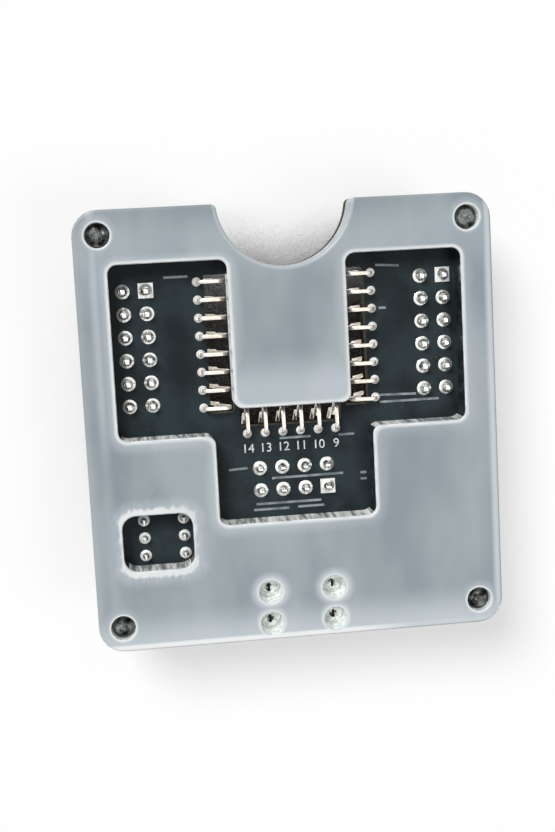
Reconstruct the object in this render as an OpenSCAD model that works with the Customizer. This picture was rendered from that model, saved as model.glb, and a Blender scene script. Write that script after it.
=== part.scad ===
// Programming board for small radio modules: a circuit board on a frosted back plate.
// The back plate lies on z = 0, the components stand up along +Z, and the finger notch is at +Y.
// Left and right are those of the component side, seen with the finger notch at the top.

/* [Board] */
// Width of the board and the back plate
board_w = 45.7; // [44:0.1:52]
// Length of the board and the back plate
board_l = 48.5; // [46:0.1:56]
// Thickness of the circuit board
board_t = 1.6; // [1.2:0.1:2.4]
// Radius of the outer corners
corner_r = 2.8; // [1:0.1:4]
// Radius of the finger notch
notch_r = 7.35; // [5:0.05:7.8]
// Distance of the notch centre beyond the top edge
notch_rise = 0.4; // [0:0.1:2]
// Radius where the notch meets the top edge
notch_lip_r = 0.6; // [0.2:0.1:1.2]

/* [Back plate] */
// Thickness of the back plate
plate_t = 3.0; // [2.4:0.1:5]
// Radius of the corners of the main window
window_r = 1.0; // [0.4:0.1:1.4]
// Side window edge beyond the outer header pins
window_side_gap = 1.43; // [1:0.01:2]
// Side window edge above the upper contact
window_top_gap = 2.3; // [1:0.1:2.6]
// Side window edge below the lower contact
window_low_gap = 2.8; // [1:0.1:4]
// Centre window edge beside the outer end contact
centre_side_gap = 3.75; // [2:0.05:5]
// Centre window edge below the socket pins
centre_low_gap = 3.1; // [1.5:0.1:4]
// Gap between the tab and the contact loops round it
tab_gap = 0.1; // [0.05:0.01:0.5]
// Width of the switch window
switch_window_w = 7.75; // [7:0.05:8.5]
// Length of the switch window
switch_window_l = 6.2; // [5.6:0.1:7]
// Radius of the corners of the switch window
switch_window_r = 1.5; // [0.6:0.1:1.6]
// Offset of the switch window towards the board edge
switch_window_shift = 0.75; // [0:0.05:0.9]
// Diameter of the holes round the port legs
leg_window_d = 2.6; // [2.2:0.1:3.2]

/* [Corner screws] */
// Diameter of the screw shank
screw_d = 2.5; // [2:0.1:3.2]
// Distance of the screws from the board edges
screw_inset = 2.7; // [2.4:0.1:3.4]
// Diameter of the screw head
screw_head_d = 5.0; // [4:0.1:5.6]
// Height of the screw head
screw_head_h = 1.9; // [1.4:0.1:2.6]
// Depth of the screw tip inside the plate
screw_tip_depth = 0.35; // [0.1:0.05:1]
// Clearance round the screw shank
screw_clearance = 0.1; // [0.05:0.05:0.3]

/* [Module bay] */
// Width of the module that the bay takes
module_w = 16; // [14:0.5:18]
// Distance of the contact rows from one contact to the next
contact_pitch = 2.0; // [1.6:0.05:2.1]
// Distance of the middle of the side rows from the top edge
bay_from_top = 15.25; // [15:0.05:17]
// Distance of the module end from the last side contact
module_end_gap = 1.5; // [1:0.1:2.5]

/* [Spring contacts] */
// Width of the contact strip
strip_w = 0.4; // [0.3:0.05:0.6]
// Thickness of the contact strip
strip_t = 0.3; // [0.15:0.05:0.35]
// Distance of the soldered tail outside the module edge
tail_out = 1.7; // [1.6:0.05:2.2]
// Reach of the loop inside the module edge
loop_in = 1.25; // [1.1:0.05:1.4]
// Depth of the loop below the board
loop_drop = 1.4; // [1.1:0.05:1.8]
// Bend radius of the loop
loop_r = 0.85; // [0.5:0.05:0.9]
// Lean of the finger where it passes the slot
finger_lean = 36; // [32:1:40]
// Length of the leaning stretch
finger_rise = 2.15; // [1.9:0.05:2.3]
// Lean of the flank that holds the module down
latch_lean = 25; // [15:1:30]
// Length of that flank
latch_l = 0.7; // [0.4:0.05:0.9]
// Lean of the lead-in at the top
lead_in_lean = 35; // [20:1:45]
// Length of the lead-in
lead_in_l = 2.0; // [1:0.1:2.6]
// Bend radius of the finger
finger_bend_r = 0.55; // [0.35:0.05:0.7]
// Clearance between finger and slot
slot_clearance = 0.3; // [0.2:0.05:0.35]
// Spare board at each end of the slots
slot_end = 0.7; // [0.5:0.05:0.8]

/* [Pin headers] */
// Distance from one pin to the next
pin_pitch = 2.54; // [2.5:0.01:2.6]
// Width of the square pins
pin_w = 0.64; // [0.5:0.02:0.7]
// Distance of the header middle from the module edge
header_gap = 8.6; // [8:0.05:8.9]
// Height of the header block
header_h = 2.5; // [2:0.1:3.5]
// Length of the pins above the header block
pin_free_l = 6.0; // [4:0.1:9]
// Length of the pins below the board
pin_tail_l = 1.35; // [1.1:0.05:1.8]
// Depth of the grooves between the header positions
header_groove = 0.45; // [0.2:0.05:0.7]

/* [Module socket] */
// Height of the socket block
socket_h = 8.5; // [6:0.1:9]
// Distance of the socket middle from the end contact tails
socket_gap = 5.28; // [4.6:0.02:6]
// Width of the socket entries
socket_entry_w = 0.8; // [0.7:0.05:1]
// Length of the socket tails below the board
socket_tail_l = 1.25; // [1.1:0.05:1.8]

/* [Push switch] */
// Width of the square switch body
switch_w = 5.8; // [5.6:0.1:6.4]
// Distance of the switch from the middle of the board
switch_x = 14.93; // [14.5:0.01:15.3]
// Distance of the switch from the lower board edge
switch_from_edge = 12.03; // [11:0.01:13]
// Spacing of the two terminal rows
switch_row_gap = 4.46; // [4:0.02:4.6]
// Distance from one terminal to the next
switch_pitch = 2.0; // [1.6:0.05:2.1]
// Height of the switch base
switch_base_h = 0.9; // [0.6:0.1:1.5]
// Wall of the switch cover
switch_wall = 0.7; // [0.5:0.05:0.8]
// Diameter of the plunger stem
stem_d = 3.0; // [2.4:0.1:3.4]
// Height of the stem above the cover when it is pressed in
stem_l = 1.3; // [1.1:0.1:2.4]
// Clearance round the plunger
plunger_clearance = 0.1; // [0.05:0.01:0.2]
// Travel of the plunger
plunger_travel = 1.6; // [1:0.1:2]

/* [USB port] */
// Width of the port shell
usb_w = 7.5; // [7.2:0.05:8]
// Height of the port shell
usb_h = 2.7; // [2.5:0.05:3.2]
// Length of the port shell
usb_l = 6.0; // [5.8:0.1:7]
// Sheet thickness of the shell
usb_sheet = 0.3; // [0.2:0.05:0.35]
// Width of the narrow side of the shell
usb_narrow_w = 5.2; // [4.8:0.1:5.6]
// Height of the slanted corners of the shell
usb_corner_h = 0.95; // [0.7:0.05:1.1]
// Distance of the front legs from the board edge
usb_leg_y = 1.85; // [1.4:0.05:2.2]
// Spacing of the front and rear legs
usb_leg_gap = 3.62; // [3:0.02:3.65]
// Width of a leg
usb_leg_w = 0.9; // [0.6:0.05:1]
// Length of the legs below the board
usb_leg_l = 0.9; // [0.6:0.05:1.4]
// Distance from one port contact to the next
usb_pitch = 0.65; // [0.6:0.01:0.7]

/* [Chips] */
// Length of the interface chip
chip_l = 9.9; // [9:0.1:10.4]
// Width of the interface chip body
chip_w = 3.9; // [3.4:0.1:4.2]
// Height of the interface chip
chip_h = 1.6; // [1.2:0.1:1.9]
// Spacing of the interface chip leads
chip_pitch = 1.27; // [1.1:0.01:1.3]
// Distance of the interface chip from the middle of the board
chip_x = 14.0; // [13:0.1:14.6]
// Distance of the interface chip from the lower board edge
chip_from_edge = 14.75; // [14.6:0.05:15.5]
// Length of the regulator body
regulator_l = 6.5; // [6:0.1:6.8]
// Width of the regulator body
regulator_w = 3.5; // [3:0.1:3.8]
// Height of the regulator
regulator_h = 1.6; // [1.4:0.1:2]
// Distance between port and regulator
regulator_gap = 3.6; // [3.4:0.1:4.4]
// Distance of the regulator from the lower board edge
regulator_from_edge = 5.25; // [4.6:0.05:5.4]
// Distance of the transistors from the middle of the board
transistor_x = 8.7; // [8:0.1:9.4]
// Distance of the lower transistor from the lower board edge
transistor_from_edge = 8.4; // [8:0.1:8.8]
// Thickness of the sheet that all chip leads are cut from
lead_t = 0.2; // [0.12:0.02:0.26]

/* [Hidden] */
$fn = 48;

// Heights: back and front of the circuit board
back_z = plate_t;
front_z = plate_t + board_t;

// Steps of a rounded corner, of the finger notch and of a bend in a formed strip
corner_steps = 6;
notch_steps = 32;
bend_steps = 5;

// Slip of a pressed or moulded-in piece, and slack of a drilled hole round the diagonal of its pin
seat_clearance = 0.02;
hole_slack = 0.25;

// Board that is left between a slot and the tail holes beside it
slot_web = 0.4;

// Counts that belong to the module's standard footprint and to the standard connectors
side_count = 8;
end_count = 6;
header_rows = 6;
socket_columns = 4;
switch_terminal_rows = 3;
usb_contact_count = 5;

// Places of the module bay
bank_y = board_l / 2 - bay_from_top;
side_half = (side_count - 1) / 2 * contact_pitch;
end_half = (end_count - 1) / 2 * contact_pitch;
module_end_y = bank_y - side_half - module_end_gap;
tail_hole_d = sqrt(strip_w ^ 2 + strip_t ^ 2) + hole_slack;
loop_end = loop_in + strip_t / 2;
slot_inner = -loop_end - slot_clearance;
slot_outer = tail_out - tail_hole_d / 2 - slot_web;

// Place where the tail of a contact ends and its finger begins
loop_mid = (tail_out - loop_in) / 2;
loop_split = 0.04;

// Places of the connectors
header_x = module_w / 2 + header_gap;
header_w = 2 * pin_pitch;
pin_taper = 0.13;
pin_hole_d = pin_w * sqrt(2) + hole_slack / 2;
socket_y = module_end_y - tail_out - socket_gap;
switch_y = -board_l / 2 + switch_from_edge;
terminal_t = 0.3;
terminal_w = 0.6;
terminal_hole_d = sqrt(terminal_t ^ 2 + terminal_w ^ 2) + hole_slack;
terminal_tail_l = 1.2;
usb_y = -board_l / 2;
usb_leg_x = usb_w / 2 - usb_sheet / 2;
usb_leg_hole_d = sqrt(usb_leg_w ^ 2 + usb_sheet ^ 2) + hole_slack;

// Places of the screws
screw_x = board_w / 2 - screw_inset;
screw_y = board_l / 2 - screw_inset;
screw_hole_d = screw_d + 2 * screw_clearance;

// Edges of the windows in the back plate
window_in = module_w / 2 - loop_end - tab_gap;
window_out = header_x + pin_pitch / 2 + window_side_gap;
window_top = bank_y + side_half + window_top_gap;
window_low = bank_y - side_half - window_low_gap;
tab_low = module_end_y + loop_end + tab_gap;
centre_half = end_half + centre_side_gap;
centre_low = socket_y - pin_pitch / 2 - centre_low_gap;

// Places of the chips
chip_y = -board_l / 2 + chip_from_edge;
chip_lead_count = 8;
chip_foot = 1.05;
regulator_x = -(usb_w / 2 + regulator_gap + regulator_l / 2);
regulator_y = -board_l / 2 + regulator_from_edge;
regulator_foot = 1.75;
regulator_pitch = 2.3;
transistor_l = 2.9;
transistor_w = 1.3;
transistor_h = 1.0;
transistor_foot = 0.55;
transistor_pitch = 0.95;
transistor_step = 3.75;

// Chip resistors, capacitors and lights: length, width, height and length of an end cap
resistor_size = [1.6, 0.8, 0.45];
capacitor_size = [3.2, 1.6, 1.4];
light_size = [1.6, 0.8, 0.6];
light_cap_h = 0.3;
cap_l = 0.3;
aisle_x = (module_w / 2 + tail_out + header_x - header_w / 2) / 2;
aisle_step = 4.5;
light_x = usb_w / 2 + 5.7;
light_step = 2.5;
light_from_edge = 2.8;
light_resistor_rise = 2.3;

// Places of the chip resistors: one column in each aisle and one behind each light
resistor_places = [
    for (side = [-1, 1]) for (i = [-1:1]) [side * aisle_x, bank_y + i * aisle_step],
    for (i = [0:1]) [light_x + i * light_step, usb_y + light_from_edge + light_resistor_rise]];
// Places of the capacitors: one on each side of the port
capacitor_places = [for (side = [-1, 1]) [side * (usb_w + regulator_gap) / 2, usb_y + usb_l / 2 + 1]];
light_places = [for (i = [0:1]) [light_x + i * light_step, usb_y + light_from_edge]];
transistor_places = [for (i = [0:1])
    [transistor_x, usb_y + transistor_from_edge + i * transistor_step]];

// Unit vector at an angle
function heading(a) = [cos(a), sin(a)];

// Corners of a rectangle round the origin
function rectangle(w, l) = [[-w / 2, -l / 2], [w / 2, -l / 2], [w / 2, l / 2], [-w / 2, l / 2]];

// Points along an arc, leaving out the given number at each end
function arc(centre, r, from, to, steps, skip = 0) =
    [for (k = [skip:steps - skip]) centre + r * heading(from + (to - from) * k / steps)];

// Arc that rounds the corner b of the path a, b, c
function corner_arc(a, b, c, r) =
    let (u = (a - b) / norm(a - b),
        v = (c - b) / norm(c - b),
        half = acos(u * v) / 2,
        centre = b + (u + v) / norm(u + v) * r / sin(half),
        start = b + u * r / tan(half) - centre,
        end = b + v * r / tan(half) - centre,
        first = atan2(start.y, start.x),
        sweep = (atan2(end.y, end.x) - first + 540) % 360 - 180)
    [for (k = [0:corner_steps]) centre + r * heading(first + sweep * k / corner_steps)];

// Outline with every corner rounded
function rounded(points, r) =
    let (n = len(points))
    [for (i = [0:n - 1]) each corner_arc(points[(i + n - 1) % n], points[i], points[(i + 1) % n], r)];

// Stations, each a place and a heading, of a strip formed by moves of [length, turn, bend radius]
function stations(moves, place, a, i = 0) =
    i == len(moves) ? [] :
    let (move = moves[i],
        corner = place + move[0] * heading(a),
        side = sign(move[1]),
        centre = corner + side * move[2] * heading(a + 90),
        bend = side == 0 ? [] : [for (k = [1:bend_steps])
            let (b = a + move[1] * k / bend_steps) [centre - side * move[2] * heading(b + 90), b]],
        last = side == 0 ? corner : bend[bend_steps - 1][0])
    concat(move[0] > 0 ? [[corner, a]] : [], bend, stations(moves, last, a + move[1], i + 1));

// Outline of a formed strip of thickness t
function strip_outline(moves, place, a, t) =
    let (path = concat([[place, a]], stations(moves, place, a)))
    concat([for (s = path) s[0] + t / 2 * heading(s[1] + 90)],
        [for (i = [len(path) - 1:-1:0]) path[i][0] - t / 2 * heading(path[i][1] + 90)]);

// Strip formed in the XZ plane and w wide along Y
module formed_strip(moves, place, a, t, w) {
    rotate([90, 0, 0])
        linear_extrude(w, center = true)
            polygon(strip_outline(moves, place, a, t));
}

// Children at the four corners of a rectangle
module at_corners(x, y) {
    for (sx = [-1, 1])
        for (sy = [-1, 1])
            translate([sx * x, sy * y, 0])
                children();
}

// Children on a grid round the origin
module on_grid(nx, ny, px, py) {
    for (i = [0:nx - 1])
        for (j = [0:ny - 1])
            translate([(i - (nx - 1) / 2) * px, (j - (ny - 1) / 2) * py, 0])
                children();
}

// Children at listed places
module at_places(places) {
    for (place = places)
        translate([place.x, place.y, 0])
            children();
}

module header_grid() {
    on_grid(2, header_rows, pin_pitch, pin_pitch)
        children();
}

module socket_grid() {
    translate([0, socket_y, 0])
        on_grid(socket_columns, 2, pin_pitch, pin_pitch)
            children();
}

module switch_grid() {
    translate([switch_x, switch_y, 0])
        on_grid(2, switch_terminal_rows, switch_row_gap, switch_pitch)
            children();
}

module usb_leg_places() {
    translate([0, usb_y + usb_leg_y + usb_leg_gap / 2, 0])
        at_corners(usb_leg_x, usb_leg_gap / 2)
            children();
}

// Middle of the module edge at each contact of a bank, and the turn that takes +X out of the bay
function bank_turn(bank) = bank == "right" ? 0 : bank == "left" ? 180 : -90;
function bank_places(bank) =
    bank == "end"
    ? [for (i = [0:end_count - 1]) [i * contact_pitch - end_half, module_end_y]]
    : [for (i = [0:side_count - 1])
        [(bank == "right" ? 1 : -1) * module_w / 2, bank_y + i * contact_pitch - side_half]];

module along_bank(bank) {
    for (place = bank_places(bank))
        translate([place.x, place.y, 0])
            rotate(bank_turn(bank))
                children();
}

// Middle of a bank, with +X out of the bay
module at_bank(bank) {
    translate(bank == "end" ? [0, module_end_y, 0] : [(bank == "right" ? 1 : -1) * module_w / 2, bank_y, 0])
        rotate(bank_turn(bank))
            children();
}

// Outline that the board and the back plate share: four round corners and a finger notch with round lips
function board_path() =
    let (side = board_w / 2 - corner_r,
        end = board_l / 2 - corner_r,
        tilt = asin((notch_rise + notch_lip_r) / (notch_r + notch_lip_r)),
        lip_x = (notch_r + notch_lip_r) * cos(tilt),
        lip_y = board_l / 2 - notch_lip_r)
    concat(
        arc([-side, -end], corner_r, 180, 270, corner_steps),
        arc([side, -end], corner_r, 270, 360, corner_steps),
        arc([side, end], corner_r, 0, 90, corner_steps),
        arc([lip_x, lip_y], notch_lip_r, 90, 180 - tilt, corner_steps),
        arc([0, board_l / 2 + notch_rise], notch_r, -tilt, tilt - 180, notch_steps, 1),
        arc([-lip_x, lip_y], notch_lip_r, tilt, 90, corner_steps),
        arc([-side, end], corner_r, 90, 180, corner_steps));

module board_outline() {
    difference() {
        polygon(board_path());
        at_corners(screw_x, screw_y)
            circle(d = screw_hole_d);
    }
}

// Window round both header blocks, the contacts and the socket
module main_window() {
    right = [[centre_half, centre_low], [centre_half, window_low], [window_out, window_low],
        [window_out, window_top], [window_in, window_top], [window_in, tab_low]];
    left = [for (i = [len(right) - 1:-1:0]) [-right[i].x, right[i].y]];
    polygon(rounded(concat(right, left), window_r));
}

module back_plate() {
    color("lightsteelblue")
        linear_extrude(plate_t)
            difference() {
                board_outline();
                main_window();
                translate([switch_x + switch_window_shift, switch_y])
                    polygon(rounded(rectangle(switch_window_w, switch_window_l), switch_window_r));
                usb_leg_places()
                    circle(d = leg_window_d);
            }
}

// Slot and tail holes of one bank
module bank_cut(bank, half) {
    at_bank(bank)
        translate([slot_inner, -half - slot_end])
            square([slot_outer - slot_inner, 2 * (half + slot_end)]);
    along_bank(bank)
        translate([tail_out, 0])
            circle(d = tail_hole_d);
}

module circuit_board() {
    color("#22292c")
        translate([0, 0, back_z])
            linear_extrude(board_t)
                difference() {
                    board_outline();
                    bank_cut("left", side_half);
                    bank_cut("right", side_half);
                    bank_cut("end", end_half);
                    for (side = [-1, 1])
                        translate([side * header_x, bank_y])
                            header_grid()
                                circle(d = pin_hole_d);
                    socket_grid()
                        circle(d = pin_hole_d);
                    switch_grid()
                        circle(d = terminal_hole_d);
                    usb_leg_places()
                        circle(d = usb_leg_hole_d);
                }
}

// Sizes of the screw tip, the head's upright edge and the cross recess
tip_chamfer = 0.4;
head_edge_h = 0.85;
head_steps = 4;
recess_w = 0.65;
recess_l = 2.6;
recess_depth = 1.1;

// Pan-head screw with a cross recess, driven from the component side
module corner_screws() {
    crown = screw_head_h - head_edge_h;
    color("#1d1f21")
        at_corners(screw_x, screw_y)
            difference() {
                rotate_extrude()
                    polygon(concat(
                        [[0, screw_tip_depth], [screw_d / 2 - tip_chamfer, screw_tip_depth],
                            [screw_d / 2, screw_tip_depth + tip_chamfer], [screw_d / 2, front_z],
                            [screw_head_d / 2, front_z]],
                        [for (k = [0:head_steps - 1])
                            let (a = 90 * k / head_steps)
                            [screw_head_d / 2 * cos(a), front_z + head_edge_h + crown * sin(a)]],
                        [[0, front_z + screw_head_h]]));
                for (turn = [0, 90])
                    rotate(turn)
                        translate([-recess_l / 2, -recess_w / 2, front_z + screw_head_h - recess_depth])
                            cube([recess_l, recess_w, screw_head_h]);
            }
}

// Bar with a rectangular section and tapered ends, standing on the origin
module tapered_bar(w, d, l, taper) {
    intersection() {
        rotate([90, 0, 0])
            linear_extrude(d, center = true)
                polygon([[-w / 2 + taper, 0], [w / 2 - taper, 0], [w / 2, taper], [w / 2, l - taper],
                    [w / 2 - taper, l], [-w / 2 + taper, l], [-w / 2, l - taper], [-w / 2, taper]]);
        rotate([90, 0, 90])
            linear_extrude(w, center = true)
                polygon([[-d / 2 + taper, 0], [d / 2 - taper, 0], [d / 2, taper], [d / 2, l - taper],
                    [d / 2 - taper, l], [-d / 2 + taper, l], [-d / 2, l - taper], [-d / 2, taper]]);
    }
}

// Insulating block of a double-row header, grooved between its positions
module header_block(x) {
    rows = header_rows;
    edge = header_w / 2;
    right = concat(
        [for (i = [0:rows - 1]) each [
            [edge - header_groove, (i - rows / 2) * pin_pitch],
            [edge, (i - rows / 2) * pin_pitch + header_groove],
            [edge, (i + 1 - rows / 2) * pin_pitch - header_groove]]],
        [[edge - header_groove, rows / 2 * pin_pitch]]);
    left = [for (i = [len(right) - 1:-1:0]) [-right[i].x, right[i].y]];
    color("#1b1b1d")
        translate([x, bank_y, front_z])
            linear_extrude(header_h)
                difference() {
                    polygon(concat(right, left));
                    header_grid()
                        square(pin_w + 2 * seat_clearance, center = true);
                }
}

module header_pins(x) {
    color("#c9b37a")
        translate([x, bank_y, back_z - pin_tail_l])
            header_grid()
                tapered_bar(pin_w, pin_w, pin_tail_l + board_t + header_h + pin_free_l, pin_taper);
}

module left_header_block() {
    header_block(-header_x);
}

module right_header_block() {
    header_block(header_x);
}

module left_header_pins() {
    header_pins(-header_x);
}

module right_header_pins() {
    header_pins(header_x);
}

// Square funnel that opens upwards at 45 degrees, twice as high as its depth
module funnel(narrow, depth) {
    wide = narrow + 4 * depth;
    profile = [[-narrow / 2, 0], [narrow / 2, 0], [wide / 2, 2 * depth], [-wide / 2, 2 * depth]];
    intersection() {
        rotate([90, 0, 0])
            linear_extrude(wide, center = true)
                polygon(profile);
        rotate([90, 0, 90])
            linear_extrude(wide, center = true)
                polygon(profile);
    }
}

// Sizes of the cavities and contacts of the socket
cavity_w = 1.6;
cavity_d = 0.9;
cavity_roof = 1.4;
funnel_depth = 0.5;
leaf_t = 0.18;
leaf_w = 0.7;
leaf_lean = 6;
leaf_foot = 0.42;
leaf_tip_l = 0.8;
leaf_head_room = 2.0;
socket_tail_w = 0.56;
socket_tail_t = 0.3;
tail_taper = 0.06;

module socket_block() {
    cavity_h = socket_h - cavity_roof;
    color("#1b1b1d")
        difference() {
            translate([0, socket_y, front_z])
                linear_extrude(socket_h)
                    polygon(rounded(rectangle(socket_columns * pin_pitch, header_w), header_groove / 2));
            socket_grid() {
                translate([-cavity_w / 2, -cavity_d / 2, front_z - 1])
                    cube([cavity_w, cavity_d, cavity_h + 1]);
                translate([-socket_entry_w / 2, -socket_entry_w / 2, front_z])
                    cube([socket_entry_w, socket_entry_w, socket_h]);
                translate([0, 0, front_z + socket_h - funnel_depth])
                    funnel(socket_entry_w, funnel_depth);
            }
        }
}

// Two leaves that spring together, on a tail through the board
module socket_contacts() {
    leaf_l = socket_h - cavity_roof - leaf_tip_l - leaf_head_room;
    overlap = leaf_t / 2;
    tail_l = board_t + socket_tail_l + overlap;
    color("#c9b37a")
        socket_grid()
            translate([0, 0, front_z]) {
                for (turn = [0, 180])
                    rotate(turn)
                        formed_strip([
                                [leaf_foot + overlap, 90 + leaf_lean, leaf_t],
                                [leaf_l, -3 * leaf_lean, leaf_t],
                                [leaf_tip_l, 0, 0]],
                            [-overlap, leaf_t / 2], 0, leaf_t, leaf_w);
                translate([0, 0, -board_t - socket_tail_l])
                    tapered_bar(socket_tail_w, socket_tail_t, tail_l, tail_taper);
            }
}

// Soldered tail of a contact and the outer half of its loop
module contact_tail() {
    down = board_t + loop_drop - loop_r;
    run = tail_out - loop_r - loop_mid - loop_split / 2;
    translate([0, 0, back_z])
        formed_strip([[down, -90, loop_r], [run, 0, 0]], [tail_out, board_t], -90, strip_t, strip_w);
}

// Inner half of the loop and the finger: through the slot, round the module edge and out to a lead-in
module contact_finger() {
    run = loop_mid - loop_split / 2 + loop_in - loop_r;
    translate([0, 0, back_z])
        formed_strip([
                [run, -90 - finger_lean, loop_r],
                [finger_rise, finger_lean + latch_lean, finger_bend_r],
                [latch_l, -latch_lean - lead_in_lean, finger_bend_r],
                [lead_in_l, 0, 0]],
            [loop_mid - loop_split / 2, -loop_drop], 180, strip_t, strip_w);
}

module contact_tails(bank) {
    color("#cfc3a4")
        along_bank(bank)
            contact_tail();
}

module contact_fingers(bank) {
    color("#d8c38a")
        along_bank(bank)
            contact_finger();
}

module left_contact_tails() {
    contact_tails("left");
}

module right_contact_tails() {
    contact_tails("right");
}

module end_contact_tails() {
    contact_tails("end");
}

module left_contact_fingers() {
    contact_fingers("left");
}

module right_contact_fingers() {
    contact_fingers("right");
}

module end_contact_fingers() {
    contact_fingers("end");
}

// Solder domes: widths on the board, and the height of each kind
contact_dome_d = 1.0;
pin_dome_d = 1.6;
pin_dome_h = 0.5;
terminal_dome_d = 1.3;
terminal_dome_h = 0.45;
leg_dome_gap = 0.1;
leg_dome_d = leg_window_d - 2 * leg_dome_gap;
leg_dome_h = 0.8;

// Dome of solder under the board round a pin of section w by d
module solder_dome(base_d, h, w, d) {
    ball_r = (base_d ^ 2 / 4 + h ^ 2) / (2 * h);
    color("#d5d8da")
        translate([0, 0, back_z])
            difference() {
                intersection() {
                    translate([0, 0, ball_r - h])
                        sphere(r = ball_r);
                    translate([-base_d, -base_d, -2 * h])
                        cube([2 * base_d, 2 * base_d, 2 * h]);
                }
                cube([w, d, 3 * h], center = true);
            }
}

module contact_solder() {
    for (bank = ["left", "right", "end"])
        along_bank(bank)
            translate([tail_out, 0, 0])
                solder_dome(contact_dome_d, loop_drop - loop_r, strip_t, strip_w);
}

module header_solder() {
    for (side = [-1, 1])
        translate([side * header_x, bank_y, 0])
            header_grid()
                solder_dome(pin_dome_d, pin_dome_h, pin_w, pin_w);
}

module socket_solder() {
    socket_grid()
        solder_dome(pin_dome_d, pin_dome_h, socket_tail_w, socket_tail_t);
}

module switch_solder() {
    switch_grid()
        solder_dome(terminal_dome_d, terminal_dome_h, terminal_t, terminal_w);
}

module usb_solder() {
    usb_leg_places()
        solder_dome(leg_dome_d, leg_dome_h, usb_sheet, usb_leg_w);
}

// Section of the port shell, set in by the given amount
function usb_section(inset) =
    let (slant = atan2(usb_corner_h, (usb_w - usb_narrow_w) / 2),
        low = usb_narrow_w / 2 - inset * tan(slant / 2),
        side = usb_w / 2 - inset,
        corner = usb_corner_h + inset * tan((90 - slant) / 2))
    [[-low, inset], [low, inset], [side, corner], [side, usb_h - inset],
        [-side, usb_h - inset], [-side, corner]];

// Solid with the section of the port, from the board edge inwards
module usb_prism(inset, from, l) {
    translate([0, usb_y + from + l, front_z])
        rotate([90, 0, 0])
            linear_extrude(l)
                polygon(usb_section(inset));
}

// Sizes of the latch windows on top of the port shell
port_latch_w = 0.8;
port_latch_l = 1.4;
port_latch_x = 1.6;

// Bent shell with two latch windows on top and four legs through the board
module usb_shell() {
    color("#c3c6c8") {
        difference() {
            usb_prism(0, 0, usb_l);
            usb_prism(usb_sheet, -1, usb_l + 2);
            for (side = [-1, 1])
                translate([side * port_latch_x - port_latch_w / 2, usb_y + usb_leg_y, front_z + usb_h / 2])
                    cube([port_latch_w, port_latch_l, usb_h]);
        }
        usb_leg_places()
            translate([0, 0, back_z - usb_leg_l])
                tapered_bar(usb_sheet, usb_leg_w, usb_leg_l + board_t + usb_corner_h + usb_sheet, tail_taper);
    }
}

// Sizes of the insulator and its contacts
usb_block_l = 1.6;
usb_tongue_w = 3.6;
usb_tongue_t = 0.6;
usb_tongue_l = 3.4;
usb_contact_w = 0.3;
usb_contact_t = 0.15;
usb_contact_setback = 0.3;
usb_contact_foot = 0.5;
usb_contact_bend = 0.2;
usb_tongue_rise = 0.2;
usb_tongue_z = usb_h / 2 + usb_tongue_rise;

// One port contact: along the underside of the tongue, down behind the block and out to its foot
module usb_contact(grow) {
    run = usb_tongue_l + usb_block_l - usb_contact_setback;
    drop = usb_tongue_z - usb_contact_t - 2 * usb_contact_bend;
    translate([0, usb_y + usb_l - run, front_z])
        rotate(90)
            formed_strip([
                    [run, -90, usb_contact_bend],
                    [drop, 90, usb_contact_bend],
                    [usb_contact_foot, 0, 0]],
                [0, usb_tongue_z - usb_contact_t / 2], 0, usb_contact_t + 2 * grow, usb_contact_w + 2 * grow);
}

module usb_contact_row(grow) {
    on_grid(usb_contact_count, 1, usb_pitch, 0)
        usb_contact(grow);
}

module usb_insulator() {
    color("#202123")
        difference() {
            union() {
                usb_prism(usb_sheet + seat_clearance, usb_l - usb_block_l, usb_block_l);
                translate([-usb_tongue_w / 2, usb_y + usb_l - usb_block_l - usb_tongue_l,
                        front_z + usb_tongue_z - usb_contact_t])
                    cube([usb_tongue_w, usb_tongue_l + usb_block_l / 2, usb_tongue_t]);
            }
            usb_contact_row(seat_clearance);
        }
}

module usb_contacts() {
    color("#d8c38a")
        usb_contact_row(0);
}

// Sizes of the switch mechanism: the cover has room for the flange, its travel and the closed spring
flange_h = 1.0;
flange_w = switch_w - 2 * switch_wall - 2 * plunger_clearance;
spring_wire = 0.24;
spring_d = 2.4;
spring_turns = 4;
spring_gap = 0.03;
turn_steps = 14;
spring_closed_h = spring_turns * spring_wire;
switch_cover_h = spring_closed_h + plunger_travel + flange_h + plunger_clearance + switch_wall;
cover_z = front_z + switch_base_h;
roof_z = cover_z + switch_cover_h - switch_wall;
flange_z = roof_z - plunger_clearance - flange_h;
post_d = 1.5;
post_h = 0.7;
stem_groove = 0.25;
stem_groove_z = 1.0;
stem_edge = 0.3;

module switch_base() {
    slit_t = terminal_t + 2 * seat_clearance;
    slit_w = terminal_w + 2 * seat_clearance;
    color("#232426")
        difference() {
            union() {
                translate([switch_x, switch_y, front_z])
                    linear_extrude(switch_base_h)
                        polygon(rounded(rectangle(switch_w, switch_w), switch_wall / 2));
                translate([switch_x, switch_y, front_z])
                    cylinder(d = post_d, h = switch_base_h + post_h);
            }
            switch_grid()
                translate([0, 0, front_z])
                    cube([slit_t, slit_w, 4 * switch_base_h], center = true);
        }
}

module switch_cover() {
    inside = switch_w - 2 * switch_wall;
    color("#eceff0")
        translate([switch_x, switch_y, cover_z])
            difference() {
                linear_extrude(switch_cover_h)
                    polygon(rounded(rectangle(switch_w, switch_w), switch_wall / 2));
                translate([-inside / 2, -inside / 2, -1])
                    cube([inside, inside, switch_cover_h - switch_wall + 1]);
                cylinder(d = stem_d + 2 * plunger_clearance, h = switch_cover_h + 1);
            }
}

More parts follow.
